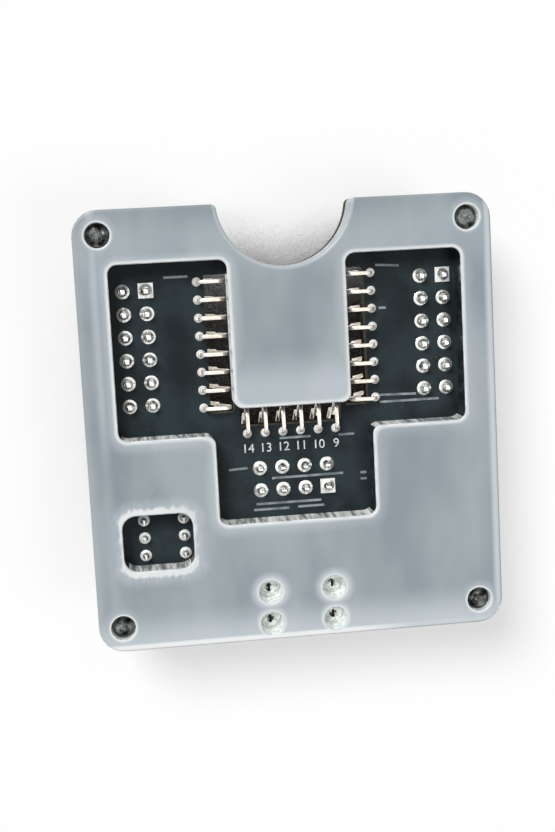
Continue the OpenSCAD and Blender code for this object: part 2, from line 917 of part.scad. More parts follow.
// Guided flange and grooved stem
module switch_plunger() {
    stem_top = roof_z + switch_wall + plunger_travel + stem_l;
    stem_r = stem_d / 2;
    groove_top = stem_top - stem_groove_z;
    groove_low = groove_top - 2 * stem_groove;
    color("#2b5fb4")
        translate([switch_x, switch_y, 0]) {
            translate([-flange_w / 2, -flange_w / 2, flange_z])
                cube([flange_w, flange_w, flange_h]);
            rotate_extrude()
                polygon([[0, flange_z + flange_h / 2], [stem_r, flange_z + flange_h / 2],
                    [stem_r, groove_low], [stem_r - stem_groove, groove_low + stem_groove],
                    [stem_r - stem_groove, groove_top], [stem_r, groove_top + stem_groove],
                    [stem_r, stem_top - stem_edge], [stem_r - stem_edge, stem_top], [0, stem_top]]);
        }
}

// Coil spring swept along its helix
module switch_spring() {
    sides = 8;
    rings = spring_turns * turn_steps;
    low = cover_z + spring_wire / 2 + spring_gap;
    high = flange_z - spring_wire / 2 - spring_gap;
    points = [for (i = [0:rings]) for (k = [0:sides - 1])
        let (turn = 360 * spring_turns * i / rings,
            r = spring_d / 2 + spring_wire / 2 * cos(360 * k / sides),
            z = low + (high - low) * i / rings)
        [r * cos(turn), r * sin(turn), z + spring_wire / 2 * sin(360 * k / sides)]];
    walls = [for (i = [0:rings - 1]) for (k = [0:sides - 1])
        [i * sides + k, (i + 1) * sides + k, (i + 1) * sides + (k + 1) % sides, i * sides + (k + 1) % sides]];
    caps = [[for (k = [0:sides - 1]) k], [for (k = [sides - 1:-1:0]) rings * sides + k]];
    color("silver")
        translate([switch_x, switch_y, 0])
            polyhedron(points, concat(walls, caps));
}

module switch_terminals() {
    color("#d5d8da")
        switch_grid()
            translate([0, 0, back_z - terminal_tail_l])
                tapered_bar(terminal_t, terminal_w, terminal_tail_l + board_t + switch_base_h, tail_taper);
}

// Mould draft of the chip bodies, the gap under them and the upright belt that the leads leave from
chip_draft = 0.12;
chip_standoff = 0.08;
chip_belt = 0.15;

// Section of a moulded chip body of width w and height h
function chip_section(w, h) =
    let (low = h / 2 - chip_belt,
        high = h / 2 + chip_belt)
    [[-w / 2 + chip_draft, chip_standoff], [w / 2 - chip_draft, chip_standoff], [w / 2, low], [w / 2, high],
        [w / 2 - chip_draft, h], [-w / 2 + chip_draft, h], [-w / 2, high], [-w / 2, low]];

// Moulded chip body with drafted sides, l long along Y
module chip_body(l, w, h) {
    intersection() {
        rotate([90, 0, 0])
            linear_extrude(l, center = true)
                polygon(chip_section(w, h));
        rotate([90, 0, 90])
            linear_extrude(w, center = true)
                polygon(chip_section(l, h));
    }
}

// Bends and widths of the chip leads
lead_bend = 0.18;
lead_shoulder = 0.12;
chip_lead_w = 0.41;
regulator_lead_w = 0.7;
regulator_tab_w = 3.0;
transistor_lead_w = 0.4;

// Gull-wing lead from the side of a chip of height h down to the board, reaching out by foot
module gull_lead(h, foot, w) {
    fall = h / 2 - lead_t / 2 - 2 * lead_bend;
    sole = foot - lead_shoulder - 2 * lead_bend;
    formed_strip([[lead_shoulder, -90, lead_bend], [fall, 90, lead_bend], [sole, 0, 0]],
        [0, h / 2], 0, lead_t, w);
}

module interface_chip_body() {
    dimple_d = 1.0;
    dimple_inset = 0.9;
    dimple_depth = 0.1;
    color("#2a2b2d")
        translate([-chip_x, chip_y, front_z])
            difference() {
                chip_body(chip_l, chip_w, chip_h);
                translate([-chip_w / 2 + dimple_inset, chip_l / 2 - dimple_inset, chip_h - dimple_depth])
                    cylinder(d = dimple_d, h = 1);
            }
}

module interface_chip_leads() {
    color("#c9ccce")
        translate([-chip_x, chip_y, front_z])
            for (turn = [0, 180])
                rotate(turn)
                    translate([chip_w / 2, 0, 0])
                        on_grid(1, chip_lead_count, 0, chip_pitch)
                            gull_lead(chip_h, chip_foot, chip_lead_w);
}

module regulator_body() {
    color("#2a2b2d")
        translate([regulator_x, regulator_y, front_z])
            rotate(90)
                chip_body(regulator_l, regulator_w, regulator_h);
}

// Three narrow leads towards the board edge and the wide heat tab behind
module regulator_leads() {
    color("#c9ccce")
        translate([regulator_x, regulator_y, front_z]) {
            rotate(-90)
                translate([regulator_w / 2, 0, 0])
                    on_grid(1, 3, 0, regulator_pitch)
                        gull_lead(regulator_h, regulator_foot, regulator_lead_w);
            rotate(90)
                translate([regulator_w / 2, 0, 0])
                    gull_lead(regulator_h, regulator_foot, regulator_tab_w);
        }
}

module transistor_bodies() {
    color("#2a2b2d")
        at_places(transistor_places)
            translate([0, 0, front_z])
                rotate(90)
                    chip_body(transistor_l, transistor_w, transistor_h);
}

module transistor_leads() {
    color("#c9ccce")
        at_places(transistor_places)
            translate([0, 0, front_z]) {
                rotate(-90)
                    translate([transistor_w / 2, 0, 0])
                        on_grid(1, 2, 0, 2 * transistor_pitch)
                            gull_lead(transistor_h, transistor_foot, transistor_lead_w);
                rotate(90)
                    translate([transistor_w / 2, 0, 0])
                        gull_lead(transistor_h, transistor_foot, transistor_lead_w);
            }
}

// Body of a two-ended chip part that lies along Y, without its end caps
module chip_part_body(size) {
    translate([-size.y / 2, -size.x / 2 + cap_l, front_z])
        cube([size.y, size.x - 2 * cap_l, size.z]);
}

module chip_part_caps(size) {
    for (side = [-1, 1])
        translate([-size.y / 2, side * (size.x - cap_l) / 2 - cap_l / 2, front_z])
            cube([size.y, cap_l, size.z]);
}

module resistor_bodies() {
    color("#242424")
        at_places(resistor_places)
            chip_part_body(resistor_size);
}

module resistor_caps() {
    color("#d5d8da")
        at_places(resistor_places)
            chip_part_caps(resistor_size);
}

module capacitor_bodies() {
    color("#a8825c")
        at_places(capacitor_places)
            chip_part_body(capacitor_size);
}

module capacitor_caps() {
    color("#d5d8da")
        at_places(capacitor_places)
            chip_part_caps(capacitor_size);
}

module light_bodies() {
    color("#f2efe0")
        at_places(light_places)
            chip_part_body(light_size);
}

module light_caps() {
    color("#d5d8da")
        at_places(light_places)
            chip_part_caps([light_size.x, light_size.y, light_cap_h]);
}

back_plate();
circuit_board();
corner_screws();
left_header_block();
left_header_pins();
right_header_block();
right_header_pins();
socket_block();
socket_contacts();
left_contact_tails();
right_contact_tails();
end_contact_tails();
left_contact_fingers();
right_contact_fingers();
end_contact_fingers();
contact_solder();
header_solder();
socket_solder();
switch_solder();
usb_solder();
usb_shell();
usb_insulator();
usb_contacts();
switch_base();
switch_cover();
switch_plunger();
switch_spring();
switch_terminals();
interface_chip_body();
interface_chip_leads();
regulator_body();
regulator_leads();
transistor_bodies();
transistor_leads();
resistor_bodies();
resistor_caps();
capacitor_bodies();
capacitor_caps();
light_bodies();
light_caps();
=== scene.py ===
"""Looks of a programming board for small radio modules.

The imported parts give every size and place. This script rounds their edges, forms the spring contacts and
the solder, draws the copper and the white print on the board, and gives each surface its finish.
"""

import functools
import logging
import math
from collections.abc import Iterable, Sequence
from dataclasses import dataclass, field
from enum import Enum

import bmesh
import bpy
from bmesh.types import BMEdge, BMesh, BMFace, BMVert
from mathutils import Matrix, Vector


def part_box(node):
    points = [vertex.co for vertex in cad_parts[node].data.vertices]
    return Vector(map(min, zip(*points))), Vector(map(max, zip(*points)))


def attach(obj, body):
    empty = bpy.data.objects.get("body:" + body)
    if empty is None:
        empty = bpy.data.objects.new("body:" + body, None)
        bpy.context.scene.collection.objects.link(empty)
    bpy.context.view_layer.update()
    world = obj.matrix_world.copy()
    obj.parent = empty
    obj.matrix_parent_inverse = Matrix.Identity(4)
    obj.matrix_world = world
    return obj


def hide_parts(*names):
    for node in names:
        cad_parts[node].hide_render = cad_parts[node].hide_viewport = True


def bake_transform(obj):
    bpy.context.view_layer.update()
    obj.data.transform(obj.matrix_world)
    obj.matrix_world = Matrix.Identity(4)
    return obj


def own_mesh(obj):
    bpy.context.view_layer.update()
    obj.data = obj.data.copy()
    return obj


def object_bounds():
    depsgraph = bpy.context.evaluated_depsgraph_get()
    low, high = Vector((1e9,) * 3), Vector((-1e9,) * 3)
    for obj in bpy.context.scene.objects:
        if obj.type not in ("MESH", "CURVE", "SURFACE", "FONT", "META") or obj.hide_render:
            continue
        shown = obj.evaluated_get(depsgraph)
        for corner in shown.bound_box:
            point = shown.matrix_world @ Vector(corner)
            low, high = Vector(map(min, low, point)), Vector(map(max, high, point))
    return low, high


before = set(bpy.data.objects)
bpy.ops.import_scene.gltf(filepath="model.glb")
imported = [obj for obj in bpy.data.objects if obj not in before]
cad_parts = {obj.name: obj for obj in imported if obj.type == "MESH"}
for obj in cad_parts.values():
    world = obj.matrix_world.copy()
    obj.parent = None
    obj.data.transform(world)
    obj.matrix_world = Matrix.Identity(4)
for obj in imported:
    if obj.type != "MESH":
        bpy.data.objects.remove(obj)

MM = 0.001
CAD_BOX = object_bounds()
LOG = logging.getLogger("programming_board")
Color = tuple[float, float, float]
Socket = bpy.types.NodeSocket
Inputs = dict[str | int, object]
Piece = bpy.types.Object
Point = tuple[float, float, float]
Place = tuple[float, float]
Box = tuple[Vector, Vector]
Z_AXIS = Vector((0.0, 0.0, 1.0))
# Distance in millimetres within which two levels count as one
NEAR = 0.01
# Values of the clouds and of the grain, from 0 to 1, between which a surface changes
CLOUD_RANGE = (0.34, 0.66)
GRAIN_RANGE = (0.25, 0.75)
FRAY_RANGE = (0.3, 0.7)
# Lowest roughness of a finish
SMOOTHEST = 0.03
# Decimals, in metres, by which solids are put in order
ORDER_DIGITS = 5


class Slot(str, Enum):
    """Material slots of the part's record."""

    ACRYLIC = "frosted_acrylic"
    MASK = "solder_mask"
    SCREW = "black_screw"
    HEADER = "header_plastic"
    GILT = "gilt_pin"
    CONTACT = "contact_metal"
    SOLDER = "solder"
    SHELL = "shell_steel"
    INSULATOR = "insulator_plastic"
    SWITCH_BASE = "switch_base_plastic"
    SWITCH_COVER = "switch_cover_plastic"
    PLUNGER = "plunger_plastic"
    SPRING = "spring_steel"
    TIN = "tinned_metal"
    CHIP = "chip_plastic"
    RESISTOR = "resistor_ceramic"
    CAPACITOR = "capacitor_ceramic"
    LIGHT = "light_lens"


class Bank(Enum):
    """Banks of spring contacts, each with the direction that leads out of the module bay."""

    LEFT = ("left", (-1.0, 0.0, 0.0))
    RIGHT = ("right", (1.0, 0.0, 0.0))
    END = ("end", (0.0, -1.0, 0.0))


class Face(Enum):
    """The two faces of the circuit board, each with the direction that it looks in."""

    BACK = -1.0
    FRONT = 1.0


def tone(code: str) -> Color:
    """Turns a screen colour into the linear colour that shaders use, by the standard sRGB curve.

    Args:
        code: six hexadecimal digits after a number sign.

    Returns:
        Linear red, green and blue.
    """
    parts = [int(code[i:i + 2], 16) / 255 for i in (1, 3, 5)]
    return tuple(p / 12.92 if p <= 0.04045 else ((p + 0.055) / 1.055) ** 2.4 for p in parts)


class ShaderTree:
    """Adds, sets and links the nodes of one shader tree."""

    # Sockets of a mix node that take and give colours
    MIX_INPUTS = (6, 7)
    MIX_OUTPUT = 2

    def __init__(self, tree: bpy.types.NodeTree) -> None:
        """Keeps the tree that the nodes go into."""
        self.tree = tree

    def feed(self, node: bpy.types.Node, inputs: Inputs) -> None:
        """Links outputs to a node's inputs, or sets the inputs' own values.

        Args:
            node: the node that is fed.
            inputs: an output socket, a number or a tuple for each input, by its name or number.
        """
        for socket, value in inputs.items():
            if isinstance(value, Socket):
                self.tree.links.new(value, node.inputs[socket])
            else:
                node.inputs[socket].default_value = value

    def add(self, kind: str, inputs: Inputs | None = None, **settings: object) -> bpy.types.Node:
        """Adds a node.

        Args:
            kind: name of the node's type, without its ShaderNode prefix.
            inputs: what its inputs are fed with.
            settings: properties of the node.

        Returns:
            The new node.
        """
        node = self.tree.nodes.new("ShaderNode" + kind)
        for key, value in settings.items():
            setattr(node, key, value)
        self.feed(node, inputs or {})
        return node

    def calc(self, operation: str, first: object, second: object = 0.0) -> Socket:
        """Works on one or two values.

        Args:
            operation: name of the sum.
            first: first value or output.
            second: second value or output.

        Returns:
            The result's socket.
        """
        return self.add("Math", {0: first, 1: second}, operation=operation).outputs[0]

    def join(self, operation: str, *values: object) -> Socket:
        """Works through several values, one after the other.

        Args:
            operation: name of the sum.
            values: values or outputs.

        Returns:
            The result's socket.
        """
        return functools.reduce(functools.partial(self.calc, operation), values)

    def distance(self, across: Socket, along: Socket) -> Socket:
        """Gives the length of a way that has the two given parts."""
        squares = [self.calc("MULTIPLY", part, part) for part in (across, along)]
        return self.calc("SQRT", self.calc("ADD", *squares))

    def ease(self, value: object, low: float, high: float, to_low: float = 0.0,
             to_high: float = 1.0) -> Socket:
        """Maps a value smoothly from one range to another.

        Args:
            value: the value or output.
            low: where the change starts.
            high: where it ends.
            to_low: result at the start.
            to_high: result at the end.

        Returns:
            The result's socket.
        """
        inputs = {"Value": value, "From Min": low, "From Max": high, "To Min": to_low, "To Max": to_high}
        return self.add("MapRange", inputs, interpolation_type="SMOOTHSTEP").outputs["Result"]

    def blend(self, factor: object, first: object, second: object) -> Socket:
        """Mixes two colours.

        Args:
            factor: share of the second colour.
            first: first colour or output.
            second: second colour or output.

        Returns:
            The mixed colour's socket.
        """
        colors = [(*item, 1.0) if isinstance(item, tuple) else item for item in (first, second)]
        inputs = {0: factor, **dict(zip(self.MIX_INPUTS, colors))}
        return self.add("Mix", inputs, data_type="RGBA").outputs[self.MIX_OUTPUT]

    def place(self) -> list[Socket]:
        """Gives the three parts of the place on the piece."""
        return list(self.add("SeparateXYZ", {0: self.add("TexCoord").outputs["Object"]}).outputs)


class NodeGroups:
    """Effects that several finishes share, each built once."""

    DETAIL = {"Coarse": 3.0, "Fine": 5.0}
    SPECK_EDGE = (0.05, 0.16)
    CLOUD_EDGE = (0.5, 0.72)
    CLOUD_SHARE = 0.2

    @staticmethod
    def _start(name: str, inputs: Sequence[tuple[str, str]],
               outputs: Sequence[str]) -> tuple[ShaderTree, bpy.types.Node, bpy.types.Node]:
        """Makes an empty group.

        Args:
            name: name of the group.
            inputs: name and socket type of each input.
            outputs: names of the value outputs.

        Returns:
            The group's tree, its input node and its output node.
        """
        group = bpy.data.node_groups.new(name, "ShaderNodeTree")
        for label, kind in inputs:
            group.interface.new_socket(label, in_out="INPUT", socket_type=kind)
        for label in outputs:
            group.interface.new_socket(label, in_out="OUTPUT", socket_type="NodeSocketFloat")
        tree = ShaderTree(group)
        return tree, group.nodes.new("NodeGroupInput"), group.nodes.new("NodeGroupOutput")

    @classmethod
    def mottle(cls) -> bpy.types.NodeTree:
        """Coarse clouds and a fine grain, both stretched along chosen axes.

        Returns:
            The node group.
        """
        name = "mottle"
        if name in bpy.data.node_groups:
            return bpy.data.node_groups[name]
        tree, inside, outside = cls._start(
            name,
            (("Coarse Scale", "NodeSocketFloat"), ("Fine Scale", "NodeSocketFloat"),
             ("Stretch", "NodeSocketVector")),
            list(cls.DETAIL))
        mapping = tree.add("Mapping", {"Vector": tree.add("TexCoord").outputs["Object"],
                                       "Scale": inside.outputs["Stretch"]})
        for label, detail in cls.DETAIL.items():
            noise = tree.add("TexNoise", {"Vector": mapping.outputs[0], "Detail": detail,
                                          "Scale": inside.outputs[label + " Scale"]})
            tree.feed(outside, {label: noise.outputs[0]})
        return tree.tree

    @classmethod
    def dust(cls) -> bpy.types.NodeTree:
        """Scattered specks that gather in clouds.

        Returns:
            The node group.
        """
        name = "dust"
        if name in bpy.data.node_groups:
            return bpy.data.node_groups[name]
        tree, inside, outside = cls._start(
            name, (("Scale", "NodeSocketFloat"), ("Amount", "NodeSocketFloat")), ("Mask",))
        place = tree.add("TexCoord").outputs["Object"]
        scale = inside.outputs["Scale"]
        cells = tree.add("TexVoronoi", {"Vector": place, "Scale": scale})
        cloud_scale = tree.calc("MULTIPLY", scale, cls.CLOUD_SHARE)
        clouds = tree.add("TexNoise", {"Vector": place, "Scale": cloud_scale})
        specks = tree.ease(cells.outputs["Distance"], *cls.SPECK_EDGE, 1.0, 0.0)
        gathered = tree.ease(clouds.outputs[0], *cls.CLOUD_EDGE)
        tree.feed(outside, {"Mask": tree.join("MULTIPLY", specks, gathered, inside.outputs["Amount"])})
        return tree.tree


@dataclass(frozen=True)
class Finish:
    """A surface finish: two colours that cloud into each other, its gloss, its grain and its dust.

    Scales count features per metre, and the grain's depth is in millimetres. The painted glow, an
    emission that brightens a part that is no lamp, counts as a share of full white.
    """

    name: str
    color: str
    clouded: str
    roughness: float
    metallic: float = 0.0
    specular: float = 0.5
    coarse: float = 260.0
    fine: float = 4200.0
    stretch: Point = (1.0, 1.0, 1.0)
    gloss_spread: float = 0.12
    grain: float = 0.12
    depth: float = 0.01
    painted_glow: float = 0.0
    dust: float = 0.0
    dust_scale: float = 900.0
    dust_color: str = "#b9b4aa"

    def tint(self, tree: ShaderTree, coarse: Socket, fine: Socket) -> Socket:
        """Colours the surface.

        Args:
            tree: the material's nodes.
            coarse: output of the coarse clouds.
            fine: output of the fine grain; not used here.

        Returns:
            The colour's socket.
        """
        return tree.blend(tree.ease(coarse, *CLOUD_RANGE), tone(self.color), tone(self.clouded))

    def material(self) -> bpy.types.Material:
        """Builds the material on its first use.

        Returns:
            The material.
        """
        if self.name in bpy.data.materials:
            return bpy.data.materials[self.name]
        material = bpy.data.materials.new(self.name)
        material.use_nodes = True
        tree = ShaderTree(material.node_tree)
        shader = material.node_tree.nodes["Principled BSDF"]
        scales = {"Coarse Scale": self.coarse, "Fine Scale": self.fine, "Stretch": self.stretch}
        mottle = tree.add("Group", scales, node_tree=NodeGroups.mottle())
        coarse, fine = (mottle.outputs[label] for label in NodeGroups.DETAIL)
        color = self.tint(tree, coarse, fine)
        if self.dust:
            amounts = {"Scale": self.dust_scale, "Amount": self.dust}
            dust = tree.add("Group", amounts, node_tree=NodeGroups.dust())
            color = tree.blend(dust.outputs["Mask"], color, tone(self.dust_color))
        spread = self.gloss_spread / 2
        smooth = max(self.roughness - spread, SMOOTHEST)
        bump = tree.add("Bump", {"Strength": self.grain, "Distance": self.depth * MM, "Height": fine})
        tree.feed(shader, {
            "Base Color": color,
            "Roughness": tree.ease(fine, *GRAIN_RANGE, smooth, self.roughness + spread),
            "Metallic": self.metallic,
            "Specular IOR Level": self.specular,
            "Normal": bump.outputs[0],
        })
        # Painted glow: an emission that makes the surface look lit, though it is no lamp.
        if self.painted_glow:
            tree.feed(shader, {"Emission Color": color, "Emission Strength": self.painted_glow})
        material.diffuse_color = (*tone(self.color), 1.0)
        return material


@dataclass(frozen=True)
class Slope:
    """A share that changes smoothly between two distances, which are in millimetres."""

    start: float
    end: float
    at_start: float = 0.0
    at_end: float = 1.0

    def share(self, tree: ShaderTree, away: Socket) -> Socket:
        """Gives the share at a distance."""
        return tree.ease(away, self.start * MM, self.end * MM, self.at_start, self.at_end)


@dataclass(frozen=True)
class FrostedFace(Finish):
    """Milky face of the back plate with painted light: white along its windows, lighter along
    its sides and round its holes.

    The light that comes unevenly through the plate, and a highlight along its lower edge, are painted
    into the colour, so each edge has its own slopes. Those of an edge or a window run away from it,
    those of a hole or of the notch from its middle, and those of the tab and the growths along the plate.
    Places and lengths are in millimetres.
    """

    # Colours of the painted light: the glow through the plate and the white rims.
    glow: str = "#d3dbe0"
    rim: str = "#eef1f1"
    rim_light_unevenness: Place = (0.95, 0.6)
    window_glow: Slope = Slope(0.1, 1.9, 0.42, 0.0)
    window_growth: Slope = Slope(-20.0, 12.0, 0.4, 1.0)
    window_rim: Slope = Slope(0.14, 0.58, 1.0, 0.0)
    left_rise: Slope = Slope(-0.1, 0.4)
    left_fall: Slope = Slope(0.5, 1.15, 0.68, 0.0)
    right_rise: Slope = Slope(-0.1, 0.1)
    right_fall: Slope = Slope(0.3, 0.9, 0.1, 0.0)
    stripe_rise: Slope = Slope(1.2, 2.0)
    stripe_fall: Slope = Slope(2.0, 2.9, 0.4, 0.0)
    stripe_growth: Slope = Slope(-4.0, 4.0, 0.3, 1.0)
    top_rise: Slope = Slope(0.2, 3.5)
    top_fall: Slope = Slope(4.5, 9.0, 0.18, 0.0)
    low_glow: Slope = Slope(0.5, 5.0, 0.62, 0.0)
    low_rim: Slope = Slope(0.55, 0.85, 0.95, 0.0)
    low_growth: Slope = Slope(-14.0, -5.0, 0.15, 1.0)
    tab_sides: Slope = Slope(5.9, 6.5, 0.5, 0.0)
    tab_rise: Slope = Slope(0.0, 1.0)
    tab_fall: Slope = Slope(3.8, 8.8, 1.0, 0.0)
    notch_glow: Slope = Slope(7.65, 7.9, 0.42, 0.0)
    notch_past_end: float = 0.4
    screw_glow: Slope = Slope(1.35, 2.6, 0.35, 0.0)
    screw_rim: Slope = Slope(1.47, 1.71, 0.7, 0.0)
    leg_glow: Slope = Slope(1.2, 2.6, 0.85, 0.0)
    leg_rim: Slope = Slope(1.2, 1.75, 0.8, 0.0)
    wing_at: Place = (12.9, 8.75)
    wing_half: Place = (6.4, 9.55)
    centre_at: Place = (0.0, -4.425)
    centre_half: Place = (8.75, 6.425)
    window_r: float = 1.0
    window_join: float = 1.76
    switch_at: Place = (15.68, -12.22)
    switch_half: Place = (3.875, 3.1)
    switch_r: float = 1.5
    switch_rim: float = 0.22
    switch_fray: float = 0.34
    switch_side_cut: float = 0.48
    switch_sides: Slope = Slope(1.6, 3.2, 1.0, 0.0)

    def tint(self, tree: ShaderTree, coarse: Socket, fine: Socket) -> Socket:
        """Colours the face, as Finish.tint does.

        Args:
            tree: the material's nodes.
            coarse: output of the coarse clouds.
            fine: output of the fine grain.

        Returns:
            The colour's socket.
        """
        x, y, _ = tree.place()
        away_x = tree.calc("ABSOLUTE", x)
        low, high = CAD_BOX
        from_left = tree.calc("SUBTRACT", x, low.x)
        from_right = tree.calc("SUBTRACT", high.x, x)
        from_low = tree.calc("SUBTRACT", y, low.y)
        from_top = tree.calc("SUBTRACT", high.y, y)
        from_windows = self.from_windows(tree, away_x, x, y, fine)
        past_end = tree.calc("SUBTRACT", y, high.y + self.notch_past_end * MM)
        from_notch = tree.distance(x, past_end)
        from_screws = self.from_holes(tree, x, y, "corner_screws")
        from_legs = self.from_holes(tree, x, y, "usb_solder")
        # Painted light: each slope brightens the face where light comes through the plate, near its
        # windows, sides, tab, notch and holes.
        glow = tree.join(
            "MAXIMUM",
            self.lit(tree, (self.window_glow, from_windows), (self.window_growth, x)),
            self.lit(tree, (self.left_rise, from_left), (self.left_fall, from_left)),
            self.lit(tree, (self.right_rise, from_right), (self.right_fall, from_right)),
            self.lit(tree, (self.stripe_rise, from_right), (self.stripe_fall, from_right),
                     (self.stripe_growth, y)),
            self.lit(tree, (self.top_rise, from_top), (self.top_fall, from_top)),
            self.lit(tree, (self.tab_sides, away_x), (self.tab_rise, y), (self.tab_fall, y)),
            self.lit(tree, (self.low_glow, from_low)),
            self.lit(tree, (self.notch_glow, from_notch)),
            self.lit(tree, (self.screw_glow, from_screws)),
            self.lit(tree, (self.leg_glow, from_legs)))
        # Painted rim light: white bands round the windows and holes, unevenly strong, and a painted
        # highlight along the lower edge.
        rim_unevenness = tree.ease(coarse, *FRAY_RANGE, *self.rim_light_unevenness)
        rim = tree.join(
            "MAXIMUM",
            tree.calc("MULTIPLY", rim_unevenness, self.window_rim.share(tree, from_windows)),
            self.lit(tree, (self.low_rim, from_low), (self.low_growth, x)),
            self.lit(tree, (self.screw_rim, from_screws)),
            self.lit(tree, (self.leg_rim, from_legs)))
        glowing = tree.blend(glow, super().tint(tree, coarse, fine), tone(self.glow))
        return tree.blend(rim, glowing, tone(self.rim))

    @staticmethod
    def lit(tree: ShaderTree, *slopes: tuple[Slope, Socket]) -> Socket:
        """Multiplies the shares of slopes.

        Args:
            tree: the material's nodes.
            slopes: each slope with the distance that it follows.

        Returns:
            The product's socket.
        """
        return tree.join("MULTIPLY", *(slope.share(tree, away) for slope, away in slopes))

    @staticmethod
    def from_holes(tree: ShaderTree, x: Socket, y: Socket, node: str) -> Socket:
        """Measures how far a place is from the nearest of four holes, which stand in a rectangle.

        Args:
            tree: the material's nodes.
            x: place across the plate.
            y: place along the plate.
            node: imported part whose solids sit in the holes.

        Returns:
            The distance's socket.
        """
        parts = []
        middles = [middle(box) for box in solids(node)]
        for socket, places in ((x, [at.x for at in middles]), (y, [at.y for at in middles])):
            first, last = min(places), max(places)
            away = tree.calc("ABSOLUTE", tree.calc("SUBTRACT", socket, (first + last) / 2))
            parts.append(tree.calc("SUBTRACT", away, (last - first) / 2))
        return tree.distance(*parts)

    def from_windows(self, tree: ShaderTree, away_x: Socket, x: Socket,
                     y: Socket, fine: Socket) -> Socket:
        """Measures how far a place on the face is from the nearest window.

        Args:
            tree: the material's nodes.
            away_x: distance from the middle of the plate.
            x: place across the plate.
            y: place along the plate.
            fine: output of the fine grain, which frays the rim of the switch window.

        Returns:
            The distance's socket.
        """
        wing = self.from_box(tree, away_x, y, self.wing_at, self.wing_half, self.window_r)
        centre = self.from_box(tree, away_x, y, self.centre_at, self.centre_half, self.window_r)
        joined = {0: wing, 1: centre, 2: self.window_join * MM}
        main_window = tree.add("Math", joined, operation="SMOOTH_MIN").outputs[0]
        switch_window = self.from_box(tree, x, y, self.switch_at, self.switch_half, self.switch_r)
        beside = tree.calc("ABSOLUTE", tree.calc("SUBTRACT", y, self.switch_at[1] * MM))
        side_cut = tree.calc("MULTIPLY", self.switch_sides.share(tree, beside), self.switch_side_cut * MM)
        widest = self.switch_rim + self.switch_fray
        frayed = tree.ease(fine, *FRAY_RANGE, self.switch_rim * MM, widest * MM)
        switch_rim = tree.calc("SUBTRACT", tree.calc("ADD", switch_window, side_cut), frayed)
        return tree.calc("MINIMUM", main_window, switch_rim)

    @staticmethod
    def from_box(tree: ShaderTree, x: Socket, y: Socket, at: Place,
                 half: Place, corner_r: float) -> Socket:
        """Measures how far a place is from a rectangle with round corners.

        Args:
            tree: the material's nodes.
            x: place across the plate.
            y: place along the plate.
            at: middle of the rectangle in millimetres.
            half: half of its width and of its length in millimetres.
            corner_r: radius of its corners in millimetres.

        Returns:
            The distance's socket.
        """
        parts = []
        for socket, middle_mm, half_mm in zip((x, y), at, half):
            away = tree.calc("ABSOLUTE", tree.calc("SUBTRACT", socket, middle_mm * MM))
            past_corner = tree.calc("SUBTRACT", away, (half_mm - corner_r) * MM)
            parts.append(tree.calc("MAXIMUM", past_corner, 0.0))
        return tree.calc("SUBTRACT", tree.distance(*parts), corner_r * MM)


@dataclass(frozen=True)
class LayeredByHeight(Finish):
    """A part with its own colour above a height and another below it: tin under the gold of a pin, or
    painted shade on the tips of the port's legs.
    """

    lower: str = "#f2f2f0"
    lower_from: float = 3.2
    lower_fade: float = 0.2

    def tint(self, tree: ShaderTree, coarse: Socket, fine: Socket) -> Socket:
        """Colours the pin, as Finish.tint does.

        Args:
            tree: the material's nodes.
            coarse: output of the coarse clouds.
            fine: output of the fine grain.

        Returns:
            The colour's socket.
        """
        height = tree.place()[2]
        plated = super().tint(tree, coarse, fine)
        edge = Slope(self.lower_from, self.lower_from + self.lower_fade, 1.0, 0.0)
        return tree.blend(edge.share(tree, height), plated, tone(self.lower))


FROSTED_FACE = FrostedFace("frosted_face", "#88939a", "#9fa8ac", 0.36, coarse=120.0, fine=2200.0,
                           stretch=(1.0, 0.4, 1.0), grain=0.06, dust=0.12, dust_scale=420.0,
                           dust_color="#dfe4e6")
# Near-white rims round the windows and holes: painted light that the cut edges catch.
FROSTED_RIM = Finish("frosted_rim", "#e9edee", "#cfd6d9", 0.3, coarse=700.0, grain=0.2)
FROSTED_EDGE = Finish("frosted_edge", "#bcc7cb", "#d0d9dc", 0.5, specular=0.2, coarse=420.0, fine=2600.0,
                      stretch=(1.0, 1.0, 0.05), grain=0.12, depth=0.02)
# Cut walls of the windows, dark as painted shade that stands for the black board seen through the clear
# acrylic. The light streaks are the cut's striations.
WINDOW_WALL = Finish("window_wall", "#15191b", "#3b4246", 0.16, coarse=900.0, fine=2600.0,
                     stretch=(1.0, 1.0, 0.06), grain=0.3, depth=0.02)
# The sills, which face along +y, take a lit copy of the wall finish with a painted glow.
WINDOW_SILL = Finish("window_sill", "#7d8484", "#f4f5f0", 0.22, coarse=2000.0, fine=2600.0,
                     stretch=(1.0, 1.0, 0.08), grain=0.4, depth=0.03, painted_glow=0.22)
# Walls of the small holes, whitened and given a painted glow that stands for light carried through the
# acrylic into the shaded holes.
HOLE_WALL = Finish("hole_wall", "#f2f5f4", "#bfc7c3", 0.5, coarse=2300.0, fine=2400.0, grain=0.5,
                   depth=0.08, painted_glow=0.2)
MASK = Finish("black_mask", "#1d2528", "#2b3539", 0.2, specular=0.12, coarse=240.0, fine=2400.0,
              grain=0.1, dust=0.2, dust_scale=1100.0, dust_color="#7d8487")
# Copper lines under the mask: a little lighter than the mask, made paler still as a painted sheen along
# their raised ridges.
MASKED_COPPER_SHEEN = Finish("masked_copper_sheen", "#8f979b", "#626b70", 0.25, specular=0.6, coarse=800.0, grain=0.1)
